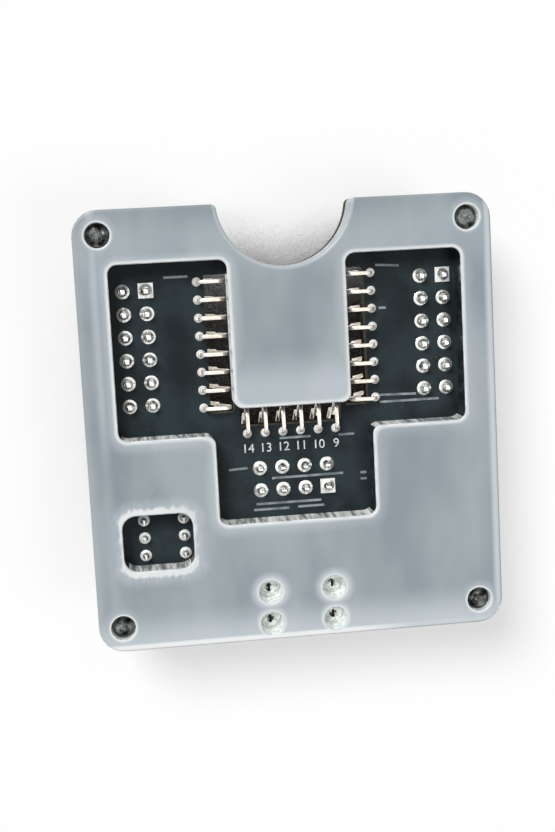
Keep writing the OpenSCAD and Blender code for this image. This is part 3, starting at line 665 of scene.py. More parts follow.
# The board's cut edges, darkened far below the laminate's own tone as painted shade.
LAMINATE = Finish("glass_laminate", "#33311f", "#4a4630", 0.55, specular=0.02, coarse=700.0,
                  stretch=(1.0, 1.0, 5.0), grain=0.5)
PRINT = Finish("white_print", "#e6e9e8", "#c9cdcc", 0.6, coarse=2200.0, fine=9000.0, grain=0.3)
TIN = Finish("tinned", "#e6e7e6", "#cfd1d1", 0.3, metallic=0.85, coarse=900.0, grain=0.15)
# Bright solder; its small glow is painted light.
SOLDER = Finish("bright_solder", "#fdfdf9", "#eceeea", 0.2, metallic=0.8, coarse=1400.0, fine=3000.0,
                grain=0.3, depth=0.03, painted_glow=0.06)
# Painted shade on the steep neck of the solder round each pin: a dark ring with pale patches.
NECK_SHADE = Finish("painted_neck_shade", "#3c3d38", "#e9eae5", 0.24, metallic=0.6, coarse=1500.0, fine=3000.0)
# Solder in the small holes, whitened and given a painted glow so that it reads bright in the holes' shade.
LEG_SOLDER = Finish("leg_solder", "#ffffff", "#c6ccc1", 0.36, metallic=0.15, coarse=1900.0, fine=1900.0,
                    grain=0.5, depth=0.1, painted_glow=0.12)
# A lit copy of the solder, paler and with a painted glow, for joints that lie in the shade of the plate.
LIT_SOLDER = Finish("lit_solder", "#ffffff", "#f1efea", 0.34, metallic=0.35, coarse=1400.0, fine=3000.0,
                     painted_glow=0.14)
SCREW = Finish("black_oxide", "#55585a", "#292b2c", 0.32, metallic=1.0, coarse=600.0, grain=0.3,
               dust=0.15)
SCREW_TIP = Finish("cut_screw_tip", "#787c7a", "#0c0d0e", 0.2, metallic=0.9, coarse=950.0, fine=1100.0,
                   grain=1.0, depth=0.22)
HEADER = Finish("header_black", "#1a1a1c", "#232326", 0.42, coarse=500.0, fine=6000.0, grain=0.3,
                dust=0.12)
GILT_TAIL = LayeredByHeight("gilt_over_tin", "#e6c678", "#d6b162", 0.26, metallic=1.0, coarse=500.0,
                            grain=0.02)
GILT = Finish("gilt", "#e6c678", "#d6b162", 0.26, metallic=1.0, coarse=500.0, grain=0.02)
CONTACT = Finish("contact_strip", "#fffaf2", "#efe5d5", 0.32, metallic=0.55, coarse=500.0, fine=5000.0,
                 grain=0.18)
# The port's shell; its leg tips below the board, in the plate's holes, are painted dark as the legs'
# shade.
SHELL = LayeredByHeight("shell_sheet", "#cfd1d2", "#b5b8ba", 0.3, metallic=1.0, coarse=500.0, fine=3000.0,
                        stretch=(1.0, 0.12, 1.0), grain=0.2, lower="#1d2122", lower_from=2.7)
INSULATOR = Finish("port_insulator", "#18191a", "#222325", 0.45, coarse=700.0, grain=0.25)
SWITCH_BASE = Finish("switch_base", "#1d1e20", "#27282b", 0.45, coarse=600.0, grain=0.3)
SWITCH_COVER = Finish("switch_cover", "#e3e6e7", "#d3d7d8", 0.34, coarse=300.0, grain=0.15, dust=0.1,
                      dust_color="#a9a69e")
PLUNGER = Finish("switch_stem", "#2458b0", "#1c4a99", 0.3, coarse=400.0, grain=0.15, dust=0.1)
SPRING = Finish("spring_wire", "#b9bcbe", "#8f9294", 0.28, metallic=1.0, coarse=1500.0)
CHIP = Finish("chip_epoxy", "#242527", "#2f3032", 0.5, coarse=900.0, fine=9000.0, grain=0.5, depth=0.015,
              dust=0.14)
RESISTOR = Finish("resistor_glaze", "#161718", "#232426", 0.3, coarse=1500.0)
CAPACITOR = Finish("capacitor_body", "#a9825c", "#94704d", 0.5, coarse=1200.0, grain=0.35)
LIGHT = Finish("light_resin", "#f1ecd4", "#e2dab4", 0.16, coarse=1200.0)


def packed_solid(node: str, merge: float = 1e-6, flat: float = 0.5) -> BMesh:
    """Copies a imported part, with its loose triangles merged into whole faces.

    Args:
        node: name of the part.
        merge: distance in metres at which corners are one.
        flat: angle in degrees up to which neighbouring triangles are one face.

    Returns:
        The copy.
    """
    bm = bmesh.new()
    bm.from_mesh(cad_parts[node].data)
    bmesh.ops.remove_doubles(bm, verts=bm.verts, dist=merge)
    bmesh.ops.dissolve_limit(bm, angle_limit=math.radians(flat), verts=bm.verts, edges=bm.edges)
    return bm


def sharp_edges(bm: BMesh, degrees: float = 35.0) -> list[BMEdge]:
    """Lists the edges whose faces meet at more than the given angle."""
    return [e for e in bm.edges if e.is_manifold and e.calc_face_angle(0.0) > math.radians(degrees)]


def round_edges(bm: BMesh, edges: Sequence[BMEdge], radius: float, segments: int = 2) -> list[BMFace]:
    """Rounds edges.

    Args:
        bm: the mesh.
        edges: edges to round.
        radius: width of the rounding in millimetres.
        segments: faces across it.

    Returns:
        The new faces.
    """
    made = bmesh.ops.bevel(bm, geom=list(edges), offset=radius * MM, offset_type="OFFSET",
                           segments=segments, profile=0.5, affect="EDGES", clamp_overlap=True, material=-1)
    return made["faces"]


@functools.cache
def solids(node: str) -> list[Box]:
    """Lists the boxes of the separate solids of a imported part.

    Args:
        node: name of the part.

    Returns:
        Lowest and highest corner of each solid, from the lowest x and y upwards.
    """
    bm = packed_solid(node)
    waiting = set(bm.verts)
    boxes = []
    while waiting:
        front = [waiting.pop()]
        members = []
        while front:
            vertex = front.pop()
            members.append(vertex.co)
            near = {e.other_vert(vertex) for e in vertex.link_edges} & waiting
            waiting -= near
            front.extend(near)
        boxes.append((Vector(map(min, *members)), Vector(map(max, *members))))
    bm.free()
    return sorted(boxes, key=lambda box: [round(part, ORDER_DIGITS) for part in box[0].to_2d()])


def middle(box: Box) -> Vector:
    """Gives the middle of a box."""
    return (box[0] + box[1]) / 2


def board_level(face: Face) -> float:
    """Gives the height of a board face in metres."""
    low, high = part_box("circuit_board")
    return high.z if face is Face.FRONT else low.z


def thicken(bm: BMesh, faces: Iterable[BMFace], face: Face, thickness: float) -> None:
    """Thickens flat faces away from the board and turns all faces outwards.

    Args:
        bm: the mesh.
        faces: flat faces on the board.
        face: the board face that they lie on.
        thickness: their thickness in millimetres.
    """
    made = bmesh.ops.extrude_face_region(bm, geom=list(faces))["geom"]
    verts = [v for v in made if isinstance(v, BMVert)]
    bmesh.ops.translate(bm, verts=verts, vec=Z_AXIS * face.value * thickness * MM)
    bmesh.ops.recalc_face_normals(bm, faces=bm.faces)


def mesh_of(name: str, bm: BMesh) -> bpy.types.Mesh:
    """Turns a bmesh into a mesh.

    Args:
        name: name of the mesh.
        bm: the bmesh, which is freed.

    Returns:
        The mesh.
    """
    mesh = bpy.data.meshes.new(name)
    bm.to_mesh(mesh)
    bm.free()
    return mesh


def show(name: str, data: bpy.types.ID) -> Piece:
    """Puts a new object into the scene.

    Args:
        name: name of the object.
        data: its mesh, lamp or camera.

    Returns:
        The object.
    """
    shown = bpy.data.objects.new(name, data)
    bpy.context.scene.collection.objects.link(shown)
    return shown


def make_piece(name: str, bm: BMesh, finishes: Sequence[Finish],
               replaces: Sequence[str] = (), body: str | None = "board", smooth: float = 40.0,
               even: bool = False) -> Piece:
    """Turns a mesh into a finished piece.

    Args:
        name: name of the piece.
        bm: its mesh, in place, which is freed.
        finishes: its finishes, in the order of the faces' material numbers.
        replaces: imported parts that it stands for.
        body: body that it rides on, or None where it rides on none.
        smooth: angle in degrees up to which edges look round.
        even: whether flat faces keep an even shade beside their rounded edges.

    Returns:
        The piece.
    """
    mesh = mesh_of(name, bm)
    for finish in finishes:
        mesh.materials.append(finish.material())
    mesh.shade_smooth()
    mesh.set_sharp_from_angle(angle=math.radians(smooth))
    piece = show(name, mesh)
    if even:
        piece.modifiers.new("even_shading", "WEIGHTED_NORMAL").keep_sharp = True
    if body is not None:
        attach(piece, body)
    if replaces:
        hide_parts(*replaces)
    LOG.info("%s: %d faces", name, len(mesh.polygons))
    return piece


@dataclass
class SoftenedPart:
    """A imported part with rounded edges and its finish."""

    node: str
    finish: Finish
    slot: Slot
    radius: float
    segments: int = 2
    body: str = "board"

    def build(self) -> Piece:
        """Rounds the part's edges and dresses it.

        Returns:
            The piece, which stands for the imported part.
        """
        bm = packed_solid(self.node)
        round_edges(bm, sharp_edges(bm), self.radius, self.segments)
        return make_piece(self.node + "_shape", bm, (self.finish,), (self.node,), self.body,
                          even=True)


class PlateZone(Enum):
    """Zones of the back plate, numbered as its finishes are."""

    FACE = 0
    RIM = 1
    EDGE = 2
    WALL = 3
    SILL = 4
    HOLE = 5


@dataclass
class BackPlate:
    """Frosted back plate with laser-cut walls and rims round its openings that are painted bright as edge
    light.
    """

    outline_rim: float = 0.26
    window_rim: float = 0.16
    hole_rim: float = 0.12
    rim_segments: int = 3
    flat: float = 0.7
    hole_reach: float = 1.7
    edge_reach: float = 0.9
    notch_reach: float = 8.0
    low: Vector = field(init=False)
    high: Vector = field(init=False)
    holes: list[Vector] = field(init=False)

    def __post_init__(self) -> None:
        """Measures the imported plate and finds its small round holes."""
        self.low, self.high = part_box("back_plate")
        self.holes = [middle(box) for node in ("corner_screws", "usb_solder") for box in solids(node)]

    def build(self) -> list[Piece]:
        """Rounds the rims of the outer face and sorts the faces by zone.

        Returns:
            The plate.
        """
        bm = packed_solid("back_plate")
        zones = {PlateZone.EDGE: self.outline_rim, PlateZone.HOLE: self.hole_rim,
                 PlateZone.WALL: self.window_rim}
        rims: dict[PlateZone, list[BMEdge]] = {zone: [] for zone in zones}
        for edge in sharp_edges(bm):
            if all(abs(v.co.z - self.low.z) < NEAR * MM for v in edge.verts):
                rims[self.border((edge.verts[0].co + edge.verts[1].co) / 2)].append(edge)
        rounded = {zone: round_edges(bm, rims[zone], radius, self.rim_segments)
                   for zone, radius in zones.items()}
        for face in bm.faces:
            face.material_index = self.zone(face).value
        # The rounded rims of the windows and holes take the painted rim light; those of the outline take
        # the face's finish.
        for zone, faces in rounded.items():
            for face in faces:
                face.material_index = (PlateZone.FACE if zone is PlateZone.EDGE else PlateZone.RIM).value
        finishes = (FROSTED_FACE, FROSTED_RIM, FROSTED_EDGE, WINDOW_WALL, WINDOW_SILL, HOLE_WALL)
        return [make_piece("frosted_plate", bm, finishes, ("back_plate",), even=True)]

    def zone(self, face: BMFace) -> PlateZone:
        """Tells which zone a face belongs to.

        Args:
            face: a face of the plate.

        Returns:
            Its zone.
        """
        if abs(face.normal.z) > self.flat:
            return PlateZone.FACE
        border = self.border(face.calc_center_median())
        # Walls that face along +y, the sills, take the lit copy of the wall finish: painted light.
        return PlateZone.SILL if border is PlateZone.WALL and face.normal.y > self.flat else border

    def border(self, at: Vector) -> PlateZone:
        """Tells which border of the plate a place belongs to.

        Args:
            at: a place on a wall of the plate.

        Returns:
            The outline's zone, that of the small round holes or that of the windows.
        """
        if min((at - hole).to_2d().length for hole in self.holes) < self.hole_reach * MM:
            return PlateZone.HOLE
        beside = min(at.x - self.low.x, self.high.x - at.x, at.y - self.low.y, self.high.y - at.y)
        notch = (at.to_2d() - Vector((0.0, self.high.y))).length
        at_outline = beside < self.edge_reach * MM or notch < self.notch_reach * MM
        return PlateZone.EDGE if at_outline else PlateZone.WALL


@dataclass
class CircuitBoard:
    """Black circuit board with its laminate showing at the edges."""

    radius: float = 0.06
    face_slope: float = 0.7

    def build(self) -> list[Piece]:
        """Rounds the board's edges and sorts its faces by finish.

        Returns:
            The board.
        """
        bm = packed_solid("circuit_board")
        round_edges(bm, sharp_edges(bm), self.radius, 1)
        for face in bm.faces:
            face.material_index = 0 if abs(face.normal.z) > self.face_slope else 1
        return [make_piece("board_laminate", bm, (MASK, LAMINATE), ("circuit_board",),
                           even=True)]


@dataclass
class BoardCopper:
    """Pads round the joints, pads under the chips, and lines of copper under the black mask."""

    thickness: float = 0.035
    line_w: float = 0.26
    pin_pad: float = 1.66
    contact_pad: float = 1.2
    terminal_pad: float = 1.36
    leg_pad: float = 2.56
    chip_margin: float = 0.18
    circle_steps: int = 36
    bank_from: float = 9.0
    same_row: float = 0.1
    lead_out: float = 0.75
    back_lines: tuple[tuple[Place, ...], ...] = (
        ((-10.3, 16.8), (-13.0, 16.6)),
        ((-10.5, 12.0), (-11.3, 12.0)),
        ((-10.2, 2.2), (-14.4, 2.1)),
        ((-10.2, 1.4), (-14.9, 1.4), (-17.0, 1.4)),
        ((-5.3, -2.0), (-7.1, -2.0)),
        ((13.3, 16.65), (10.65, 16.65)),
        ((7.3, -5.2), (5.2, -5.1)),
        ((2.5, -6.45), (-5.6, -6.4)),
        ((4.4, -9.3), (-3.0, -9.3)),
        ((4.7, -9.95), (0.7, -9.95)),
        ((-0.3, -9.9), (-3.3, -9.9)),
        ((-7.6, -6.5), (-8.3, -6.5)),
        ((-7.6, -7.2), (-8.3, -7.2)),
        ((1.4, -1.95), (-2.1, -1.95)),
    )

    def build(self) -> list[Piece]:
        """Makes the pads and lines of both faces.

        Returns:
            The pieces.
        """
        return [*(self.pads(face) for face in Face), self.chip_pads(),
                *(self.lines(face) for face in Face)]

    def pads(self, face: Face) -> Piece:
        """Makes a square pad at the first pin of each connector, and round pads where no solder is.

        Args:
            face: the board face.

        Returns:
            The pads of that face.
        """
        bm = bmesh.new()
        for node, width in (("header_solder", self.pin_pad), ("socket_solder", self.pin_pad),
                            ("switch_solder", self.terminal_pad), ("contact_solder", self.contact_pad),
                            ("usb_solder", self.leg_pad)):
            places = [middle(box) for box in solids(node)]
            squares = self.first_pins(node, places)
            covered = face is Face.BACK and node != "usb_solder"
            for place in squares if covered else places:
                at = Matrix.Translation((place.x, place.y, board_level(face)))
                if place in squares:
                    made = bmesh.ops.create_grid(bm, x_segments=1, y_segments=1, size=width / 2 * MM,
                                                 matrix=at)
                else:
                    made = bmesh.ops.create_circle(bm, cap_ends=True, radius=width / 2 * MM,
                                                   segments=self.circle_steps, matrix=at)
                thicken(bm, {f for v in made["verts"] for f in v.link_faces}, face, self.thickness)
        return make_piece(f"{face.name.lower()}_pads", bm, (TIN,))

    @staticmethod
    def first_pins(node: str, places: Sequence[Vector]) -> list[Vector]:
        """Picks the joints that have a square pad.

        Args:
            node: part that the joints belong to.
            places: middles of its joints.

        Returns:
            The first pins.
        """
        if node == "header_solder":
            return [min((p for p in places if p.x * side > 0), key=lambda p: (p.x, -p.y))
                    for side in (-1, 1)]
        if node == "socket_solder":
            return [min(places, key=lambda p: (p.x, p.y))]
        return []

    def chip_pads(self) -> Piece:
        """Makes a pad under each lead and end cap.

        Returns:
            The pads.
        """
        bm = bmesh.new()
        level = board_level(Face.FRONT)
        for node in ("interface_chip_leads", "regulator_leads", "transistor_leads", "resistor_caps",
                     "capacitor_caps", "light_caps"):
            for low, high in solids(node):
                half = (high - low) / 2 + Vector((1.0, 1.0, 0.0)) * self.chip_margin * MM
                at = middle((low, high))
                stretch = Matrix.Diagonal((half.x, half.y, 1.0, 1.0))
                made = bmesh.ops.create_grid(bm, x_segments=1, y_segments=1, size=1.0,
                                             matrix=Matrix.Translation((at.x, at.y, level)) @ stretch)
                faces = {f for v in made["verts"] for f in v.link_faces}
                thicken(bm, faces, Face.FRONT, self.thickness)
        return make_piece("chip_pads", bm, (TIN,))

    def front_lines(self) -> list[tuple[Place, ...]]:
        """Routes the lines of the component side from the contacts to the header pins.

        Returns:
            The lines in millimetres.
        """
        routes = []
        tails = [middle(box) / MM for box in solids("contact_solder")]
        pins = [middle(box) / MM for box in solids("header_solder")]
        inner = min(abs(pin.x) for pin in pins)
        for side in (-1, 1):
            column = sorted((t for t in tails if t.x * side > self.bank_from), key=lambda t: t.y)
            rows = sorted((p for p in pins if abs(p.x * side - inner) < self.same_row), key=lambda p: p.y)
            spare = (len(column) - len(rows)) // 2
            for tail, pin in zip(column[spare:], rows):
                step = abs(pin.y - tail.y)
                turn = tail.x + side * self.lead_out
                routes.append(((tail.x, tail.y), (turn, tail.y), (turn + side * step, pin.y),
                               (pin.x, pin.y)))
        return routes

    def lines(self, face: Face) -> Piece:
        """Makes the copper lines of a face.

        Args:
            face: the board face.

        Returns:
            The lines.
        """
        bm = bmesh.new()
        routes = self.back_lines if face is Face.BACK else self.front_lines()
        for route in routes:
            ribbon(bm, route, self.line_w, board_level(face) / MM)
        thicken(bm, bm.faces, face, self.thickness)
        return make_piece(f"{face.name.lower()}_lines", bm, (MASKED_COPPER_SHEEN,))


def ribbon(bm: BMesh, route: Sequence[Place], width: float, level: float, sharpest: float = 0.3) -> None:
    """Lays a flat ribbon along a route, with mitred turns.

    Args:
        bm: mesh that the ribbon goes into.
        route: its points in millimetres.
        width: its width in millimetres.
        level: its height in millimetres.
        sharpest: cosine that limits the length of a mitre.
    """
    points = [Vector((x, y, level)) * MM for x, y in route]
    headings = [(b - a).normalized() for a, b in zip(points, points[1:])]
    sides = []
    for first, second in zip([headings[0], *headings], [*headings, headings[-1]]):
        along = (first + second).normalized()
        sides.append(along.cross(Z_AXIS) * width / 2 * MM / max(first.dot(along), sharpest))
    ends = [bm.verts.new(points[0] + sides[0]), bm.verts.new(points[0] - sides[0])]
    edge = bm.edges.new(ends)
    for here, there, side, next_side in zip(points, points[1:], sides, sides[1:]):
        made = bmesh.ops.extrude_edge_only(bm, edges=[edge])["geom"]
        edge = next(item for item in made if isinstance(item, BMEdge))
        for vertex in edge.verts:
            sign = 1.0 if (vertex.co - here).dot(side) > 0 else -1.0
            vertex.co = there + next_side * sign


@dataclass
class BoardPrint:
    """White print on the board: plain pin numbers on both faces and the outlines of the connectors."""

    thickness: float = 0.02
    line_w: float = 0.16
    number_h: float = 1.0
    small_h: float = 0.95
    digit_share: float = 0.7
    back_number_y: float = -2.95
    first_end_number: int = 9
    number_gap: float = 1.3
    edge_margin: float = 0.3
    block_gap: float = 0.3
    shell_gap: float = 0.35
    lead_gap: float = 0.45
    smooth: float = 20.0

    def build(self) -> list[Piece]:
        """Prints both faces.

        Returns:
            The two prints.
        """
        return [self.back(), self.front()]

    def number(self, bm: BMesh, text: str, at: Place, height: float, face: Face) -> None:
        """Prints a number.

        Args:
            bm: mesh that the number goes into.
            text: its digits.
            at: its middle in millimetres.
            height: height of the digits in millimetres.
            face: the board face.
        """
        curve = bpy.data.curves.new("digits", "FONT")
        curve.body = text
        curve.align_x = "CENTER"
        curve.align_y = "CENTER"
        curve.size = height / self.digit_share * MM
        curve.extrude = self.thickness * MM
        holder = bpy.data.objects.new("digits", curve)
        mesh = bpy.data.meshes.new_from_object(holder)
        turn = Matrix.Identity(4) if face is Face.FRONT else Matrix.Rotation(math.pi, 4, "Y")
        mesh.transform(Matrix.Translation((at[0] * MM, at[1] * MM, board_level(face))) @ turn)
        bm.from_mesh(mesh)
        bpy.data.objects.remove(holder)
        bpy.data.curves.remove(curve)
        bpy.data.meshes.remove(mesh)

    def back(self) -> Piece:
        """Prints a number under each contact of the end bank.

        Returns:
            The print of the back.
        """
        bm = bmesh.new()
        ends = sorted((middle(box).x / MM for box in solids("end_contact_tails")), reverse=True)
        for i, x in enumerate(ends):
            number = self.first_end_number + len(ends) - 1 - i
            self.number(bm, str(number), (x, self.back_number_y), self.number_h, Face.BACK)
        return make_piece("back_print", bm, (PRINT,), smooth=self.smooth)

    def front(self) -> Piece:
        """Prints the outlines of the connectors, and numbers beside their pins.

        Returns:
            The print of the component side.
        """
        bm = bmesh.new()
        lowest = -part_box("circuit_board")[1].y / MM + self.edge_margin
        for node, gap in (("left_header_block", self.block_gap), ("right_header_block", self.block_gap),
                          ("socket_block", self.block_gap), ("switch_base", self.block_gap),
                          ("usb_shell", self.shell_gap), ("interface_chip_leads", self.lead_gap)):
            low, high = (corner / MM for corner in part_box(node))
            low_y = max(low.y - gap, lowest)
            route = ((low.x - gap, low_y), (high.x + gap, low_y), (high.x + gap, high.y + gap),
                     (low.x - gap, high.y + gap))
            for start, end in zip(route, (*route[1:], route[0])):
                ribbon(bm, (start, end), self.line_w, board_level(Face.FRONT) / MM)
        thicken(bm, bm.faces, Face.FRONT, self.thickness)
        rows = sorted({round(middle(box).y / MM, 2) for box in solids("left_header_pins")}, reverse=True)
        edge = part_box("left_header_block")[0].x / MM - self.number_gap
        for i, y in enumerate(rows):
            self.number(bm, str(i + 1), (edge, y), self.small_h, Face.FRONT)
            self.number(bm, str(i + 1 + len(rows)), (-edge, y), self.small_h, Face.FRONT)
        return make_piece("front_print", bm, (PRINT,), smooth=self.smooth)


@dataclass
class CornerScrews:
    """Black pan-head screws with a thread at their tips."""

    shank_d: float = 2.5
    thread_pitch: float = 0.45
    thread_turns: int = 5
    thread_depth: float = 0.09
    thread_root: float = 0.02
    thread_half_w: float = 0.12
    thread_from_tip: float = 0.5
    turn_steps: int = 32
    edge_radius: float = 0.06
    edge_angle: float = 50.0
    cup_radius: float = 0.45
    cup_depth: float = 0.12
    end_slope: float = -0.9
    tip_slope: float = -0.2
    tip_reach: float = 0.6

    def build(self) -> list[Piece]:
        """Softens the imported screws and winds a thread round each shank.

        Returns:
            The screws and their threads.
        """
        bm = packed_solid("corner_screws")
        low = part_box("corner_screws")[0].z
        ends = [f for f in bm.faces
                if f.normal.z < self.end_slope and abs(f.calc_center_median().z - low) < NEAR * MM]
        bmesh.ops.inset_individual(bm, faces=ends, thickness=self.cup_radius * MM)
        for face in ends:
            bmesh.ops.translate(bm, verts=face.verts, vec=Z_AXIS * self.cup_depth * MM)
        round_edges(bm, sharp_edges(bm, self.edge_angle), self.edge_radius)
        tip = low + self.tip_reach * MM
        for face in bm.faces:
            at_tip = face.normal.z < self.tip_slope and face.calc_center_median().z < tip
            face.material_index = int(at_tip)
        screws = make_piece("corner_screw_set", bm, (SCREW, SCREW_TIP), ("corner_screws",))
        return [screws, self.threads()]

    def threads(self) -> Piece:
        """Winds a ridge along the tip of each shank.

        Returns:
            The ridges.
        """
        bm = bmesh.new()
        shank = self.shank_d / 2
        start_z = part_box("corner_screws")[0].z / MM + self.thread_from_tip
        steps = self.thread_turns * self.turn_steps
        profile = ((shank - self.thread_root, start_z - self.thread_half_w),
                   (shank + self.thread_depth, start_z),
                   (shank - self.thread_root, start_z + self.thread_half_w))
        for box in solids("corner_screws"):
            at = middle(box) / MM
            verts = [bm.verts.new(Vector((at.x + away, at.y, level)) * MM) for away, level in profile]
            edges = [bm.edges.new(pair) for pair in zip(verts, (*verts[1:], verts[0]))]
            bmesh.ops.spin(bm, geom=[*verts, *edges], cent=(at.x * MM, at.y * MM, 0.0), axis=Z_AXIS,
                           dvec=Z_AXIS * self.thread_pitch / self.turn_steps * MM,
                           angle=math.tau * self.thread_turns, steps=steps)
        bmesh.ops.holes_fill(bm, edges=[edge for edge in bm.edges if edge.is_boundary])
        bmesh.ops.recalc_face_normals(bm, faces=bm.faces)
        return make_piece("corner_screw_threads", bm, (SCREW,))


class FormedStrip:
    """Sweeps a flat section along straight stretches and bends."""

    def __init__(self, bm: BMesh, at: Vector, heading: Vector, axis: Vector, width: float,
                 thickness: float, corner: float) -> None:
        """Starts the strip with its end face.

        Args:
            bm: mesh that the strip goes into.
            at: middle of the end face in metres.
            heading: direction that the strip runs in.
            axis: direction across the strip, about which it bends.
            width: width of the strip in metres.
            thickness: thickness of the strip in metres.
            corner: rounding of the section's corners in metres.
        """
        self.bm = bm
        self.at = at.copy()
        self.heading = heading.copy()
        self.axis = axis.copy()
        section = Matrix((axis * width, axis.cross(heading) * thickness, heading)).transposed()
        made = bmesh.ops.create_grid(bm, x_segments=1, y_segments=1, size=0.5,
                                     matrix=Matrix.Translation(at) @ section.to_4x4())
        bmesh.ops.bevel(bm, geom=made["verts"], offset=corner, segments=2, profile=0.5, affect="VERTICES",
                        material=-1)
        self.face = next(f for f in bm.faces if (f.calc_center_median() - at).length < corner)

    def straight(self, length: float, steps: int = 1) -> None:
        """Runs straight on.

        Args:
            length: length in metres.
            steps: number of stretches.
        """
        for _ in range(steps):
            made = bmesh.ops.extrude_face_region(self.bm, geom=[self.face])["geom"]
            self.face = next(item for item in made if isinstance(item, BMFace))
            bmesh.ops.translate(self.bm, verts=self.face.verts, vec=self.heading * length / steps)
        self.at += self.heading * length

    def bend(self, angle: float, radius: float, steps: int) -> None:
        """Bends.

        Args:
            angle: turn about the axis, in radians.
            radius: bend radius in metres.
            steps: number of stretches.
        """
        to_side = self.axis.cross(self.heading) * math.copysign(radius, angle)
        centre = self.at + to_side
        made = bmesh.ops.spin(self.bm, geom=[self.face], cent=centre, axis=self.axis, angle=angle,
                              steps=steps)
        self.face = next(item for item in made["geom_last"] if isinstance(item, BMFace))
        turn = Matrix.Rotation(angle, 3, self.axis)
        self.at = centre - turn @ to_side
        self.heading = turn @ self.heading


@dataclass
class SpringContacts:
    """Spring contacts of one bank: soldered tails, loops below the board, and fingers round the module.

    Lengths are in millimetres and angles in degrees, as they are in the part's source.
    """

    bank: Bank
    strip_w: float = 0.4
    strip_t: float = 0.3
    strip_corner: float = 0.07
    tail_out: float = 1.7
    loop_in: float = 1.25
    loop_drop: float = 1.4
    loop_r: float = 0.85
    finger_lean: float = 36.0
    finger_rise: float = 2.15
    latch_lean: float = 25.0
    latch_l: float = 0.7
    lead_in_lean: float = 35.0
    lead_in_l: float = 2.0
    finger_bend_r: float = 0.55
    bend_steps: int = 8
    loop_steps: int = 6
    flex_slope: float = 0.3
    flex_lead: float = 0.03
    flex_length: float = 1.06

    def build(self) -> list[Piece]:
        """Forms the contacts of the bank.

        Returns:
            The bank, which stands for its tails and its fingers.
        """
        name, way = self.bank.value
        out = Vector(way)
        axis = out.cross(Z_AXIS)
        low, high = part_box("circuit_board")
        bm = bmesh.new()
        tails = [middle(box) for box in solids(name + "_contact_tails")]
        rows = [place - out * place.dot(out) for place in tails]
        reach = max(box[i].dot(out) for box in solids(name + "_contact_tails") for i in (0, 1))
        tail_at = reach - self.strip_t / 2 * MM
        for row in rows:
            start = out * tail_at + Vector((row.x, row.y, high.z))
            self.form(bm, start, axis, (high.z - low.z) / MM)
        inner = [face for face in bm.faces if all(len(edge.link_faces) > 2 for edge in face.edges)]
        bmesh.ops.delete(bm, geom=inner, context="FACES_ONLY")
        bmesh.ops.recalc_face_normals(bm, faces=bm.faces)
        piece = make_piece(name + "_contacts", bm, (CONTACT,),
                           (name + "_contact_tails", name + "_contact_fingers"), None)
        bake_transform(piece)
        return [piece]

    def form(self, bm: BMesh, start: Vector, axis: Vector, board_t: float) -> None:
        """Forms one contact.

        Args:
            bm: mesh that the contact goes into.
            start: upper end of its tail.
            axis: axis of its bends.
            board_t: thickness of the board in millimetres.
        """
        strip = FormedStrip(bm, start, -Z_AXIS, axis, self.strip_w * MM, self.strip_t * MM,
                            self.strip_corner * MM)
        strip.straight((board_t + self.loop_drop - self.loop_r) * MM)
        strip.bend(-math.pi / 2, self.loop_r * MM, self.bend_steps)
        strip.straight((self.tail_out + self.loop_in - 2 * self.loop_r) * MM, self.loop_steps)
        strip.bend(-math.radians(90 + self.finger_lean), self.loop_r * MM, self.bend_steps)
        strip.straight(self.finger_rise * MM)
        finger_r = self.finger_bend_r * MM
        strip.bend(math.radians(self.finger_lean + self.latch_lean), finger_r, self.bend_steps)
        strip.straight(self.latch_l * MM)
        strip.bend(-math.radians(self.latch_lean + self.lead_in_lean), finger_r, self.bend_steps)
        strip.straight(self.lead_in_l * MM)


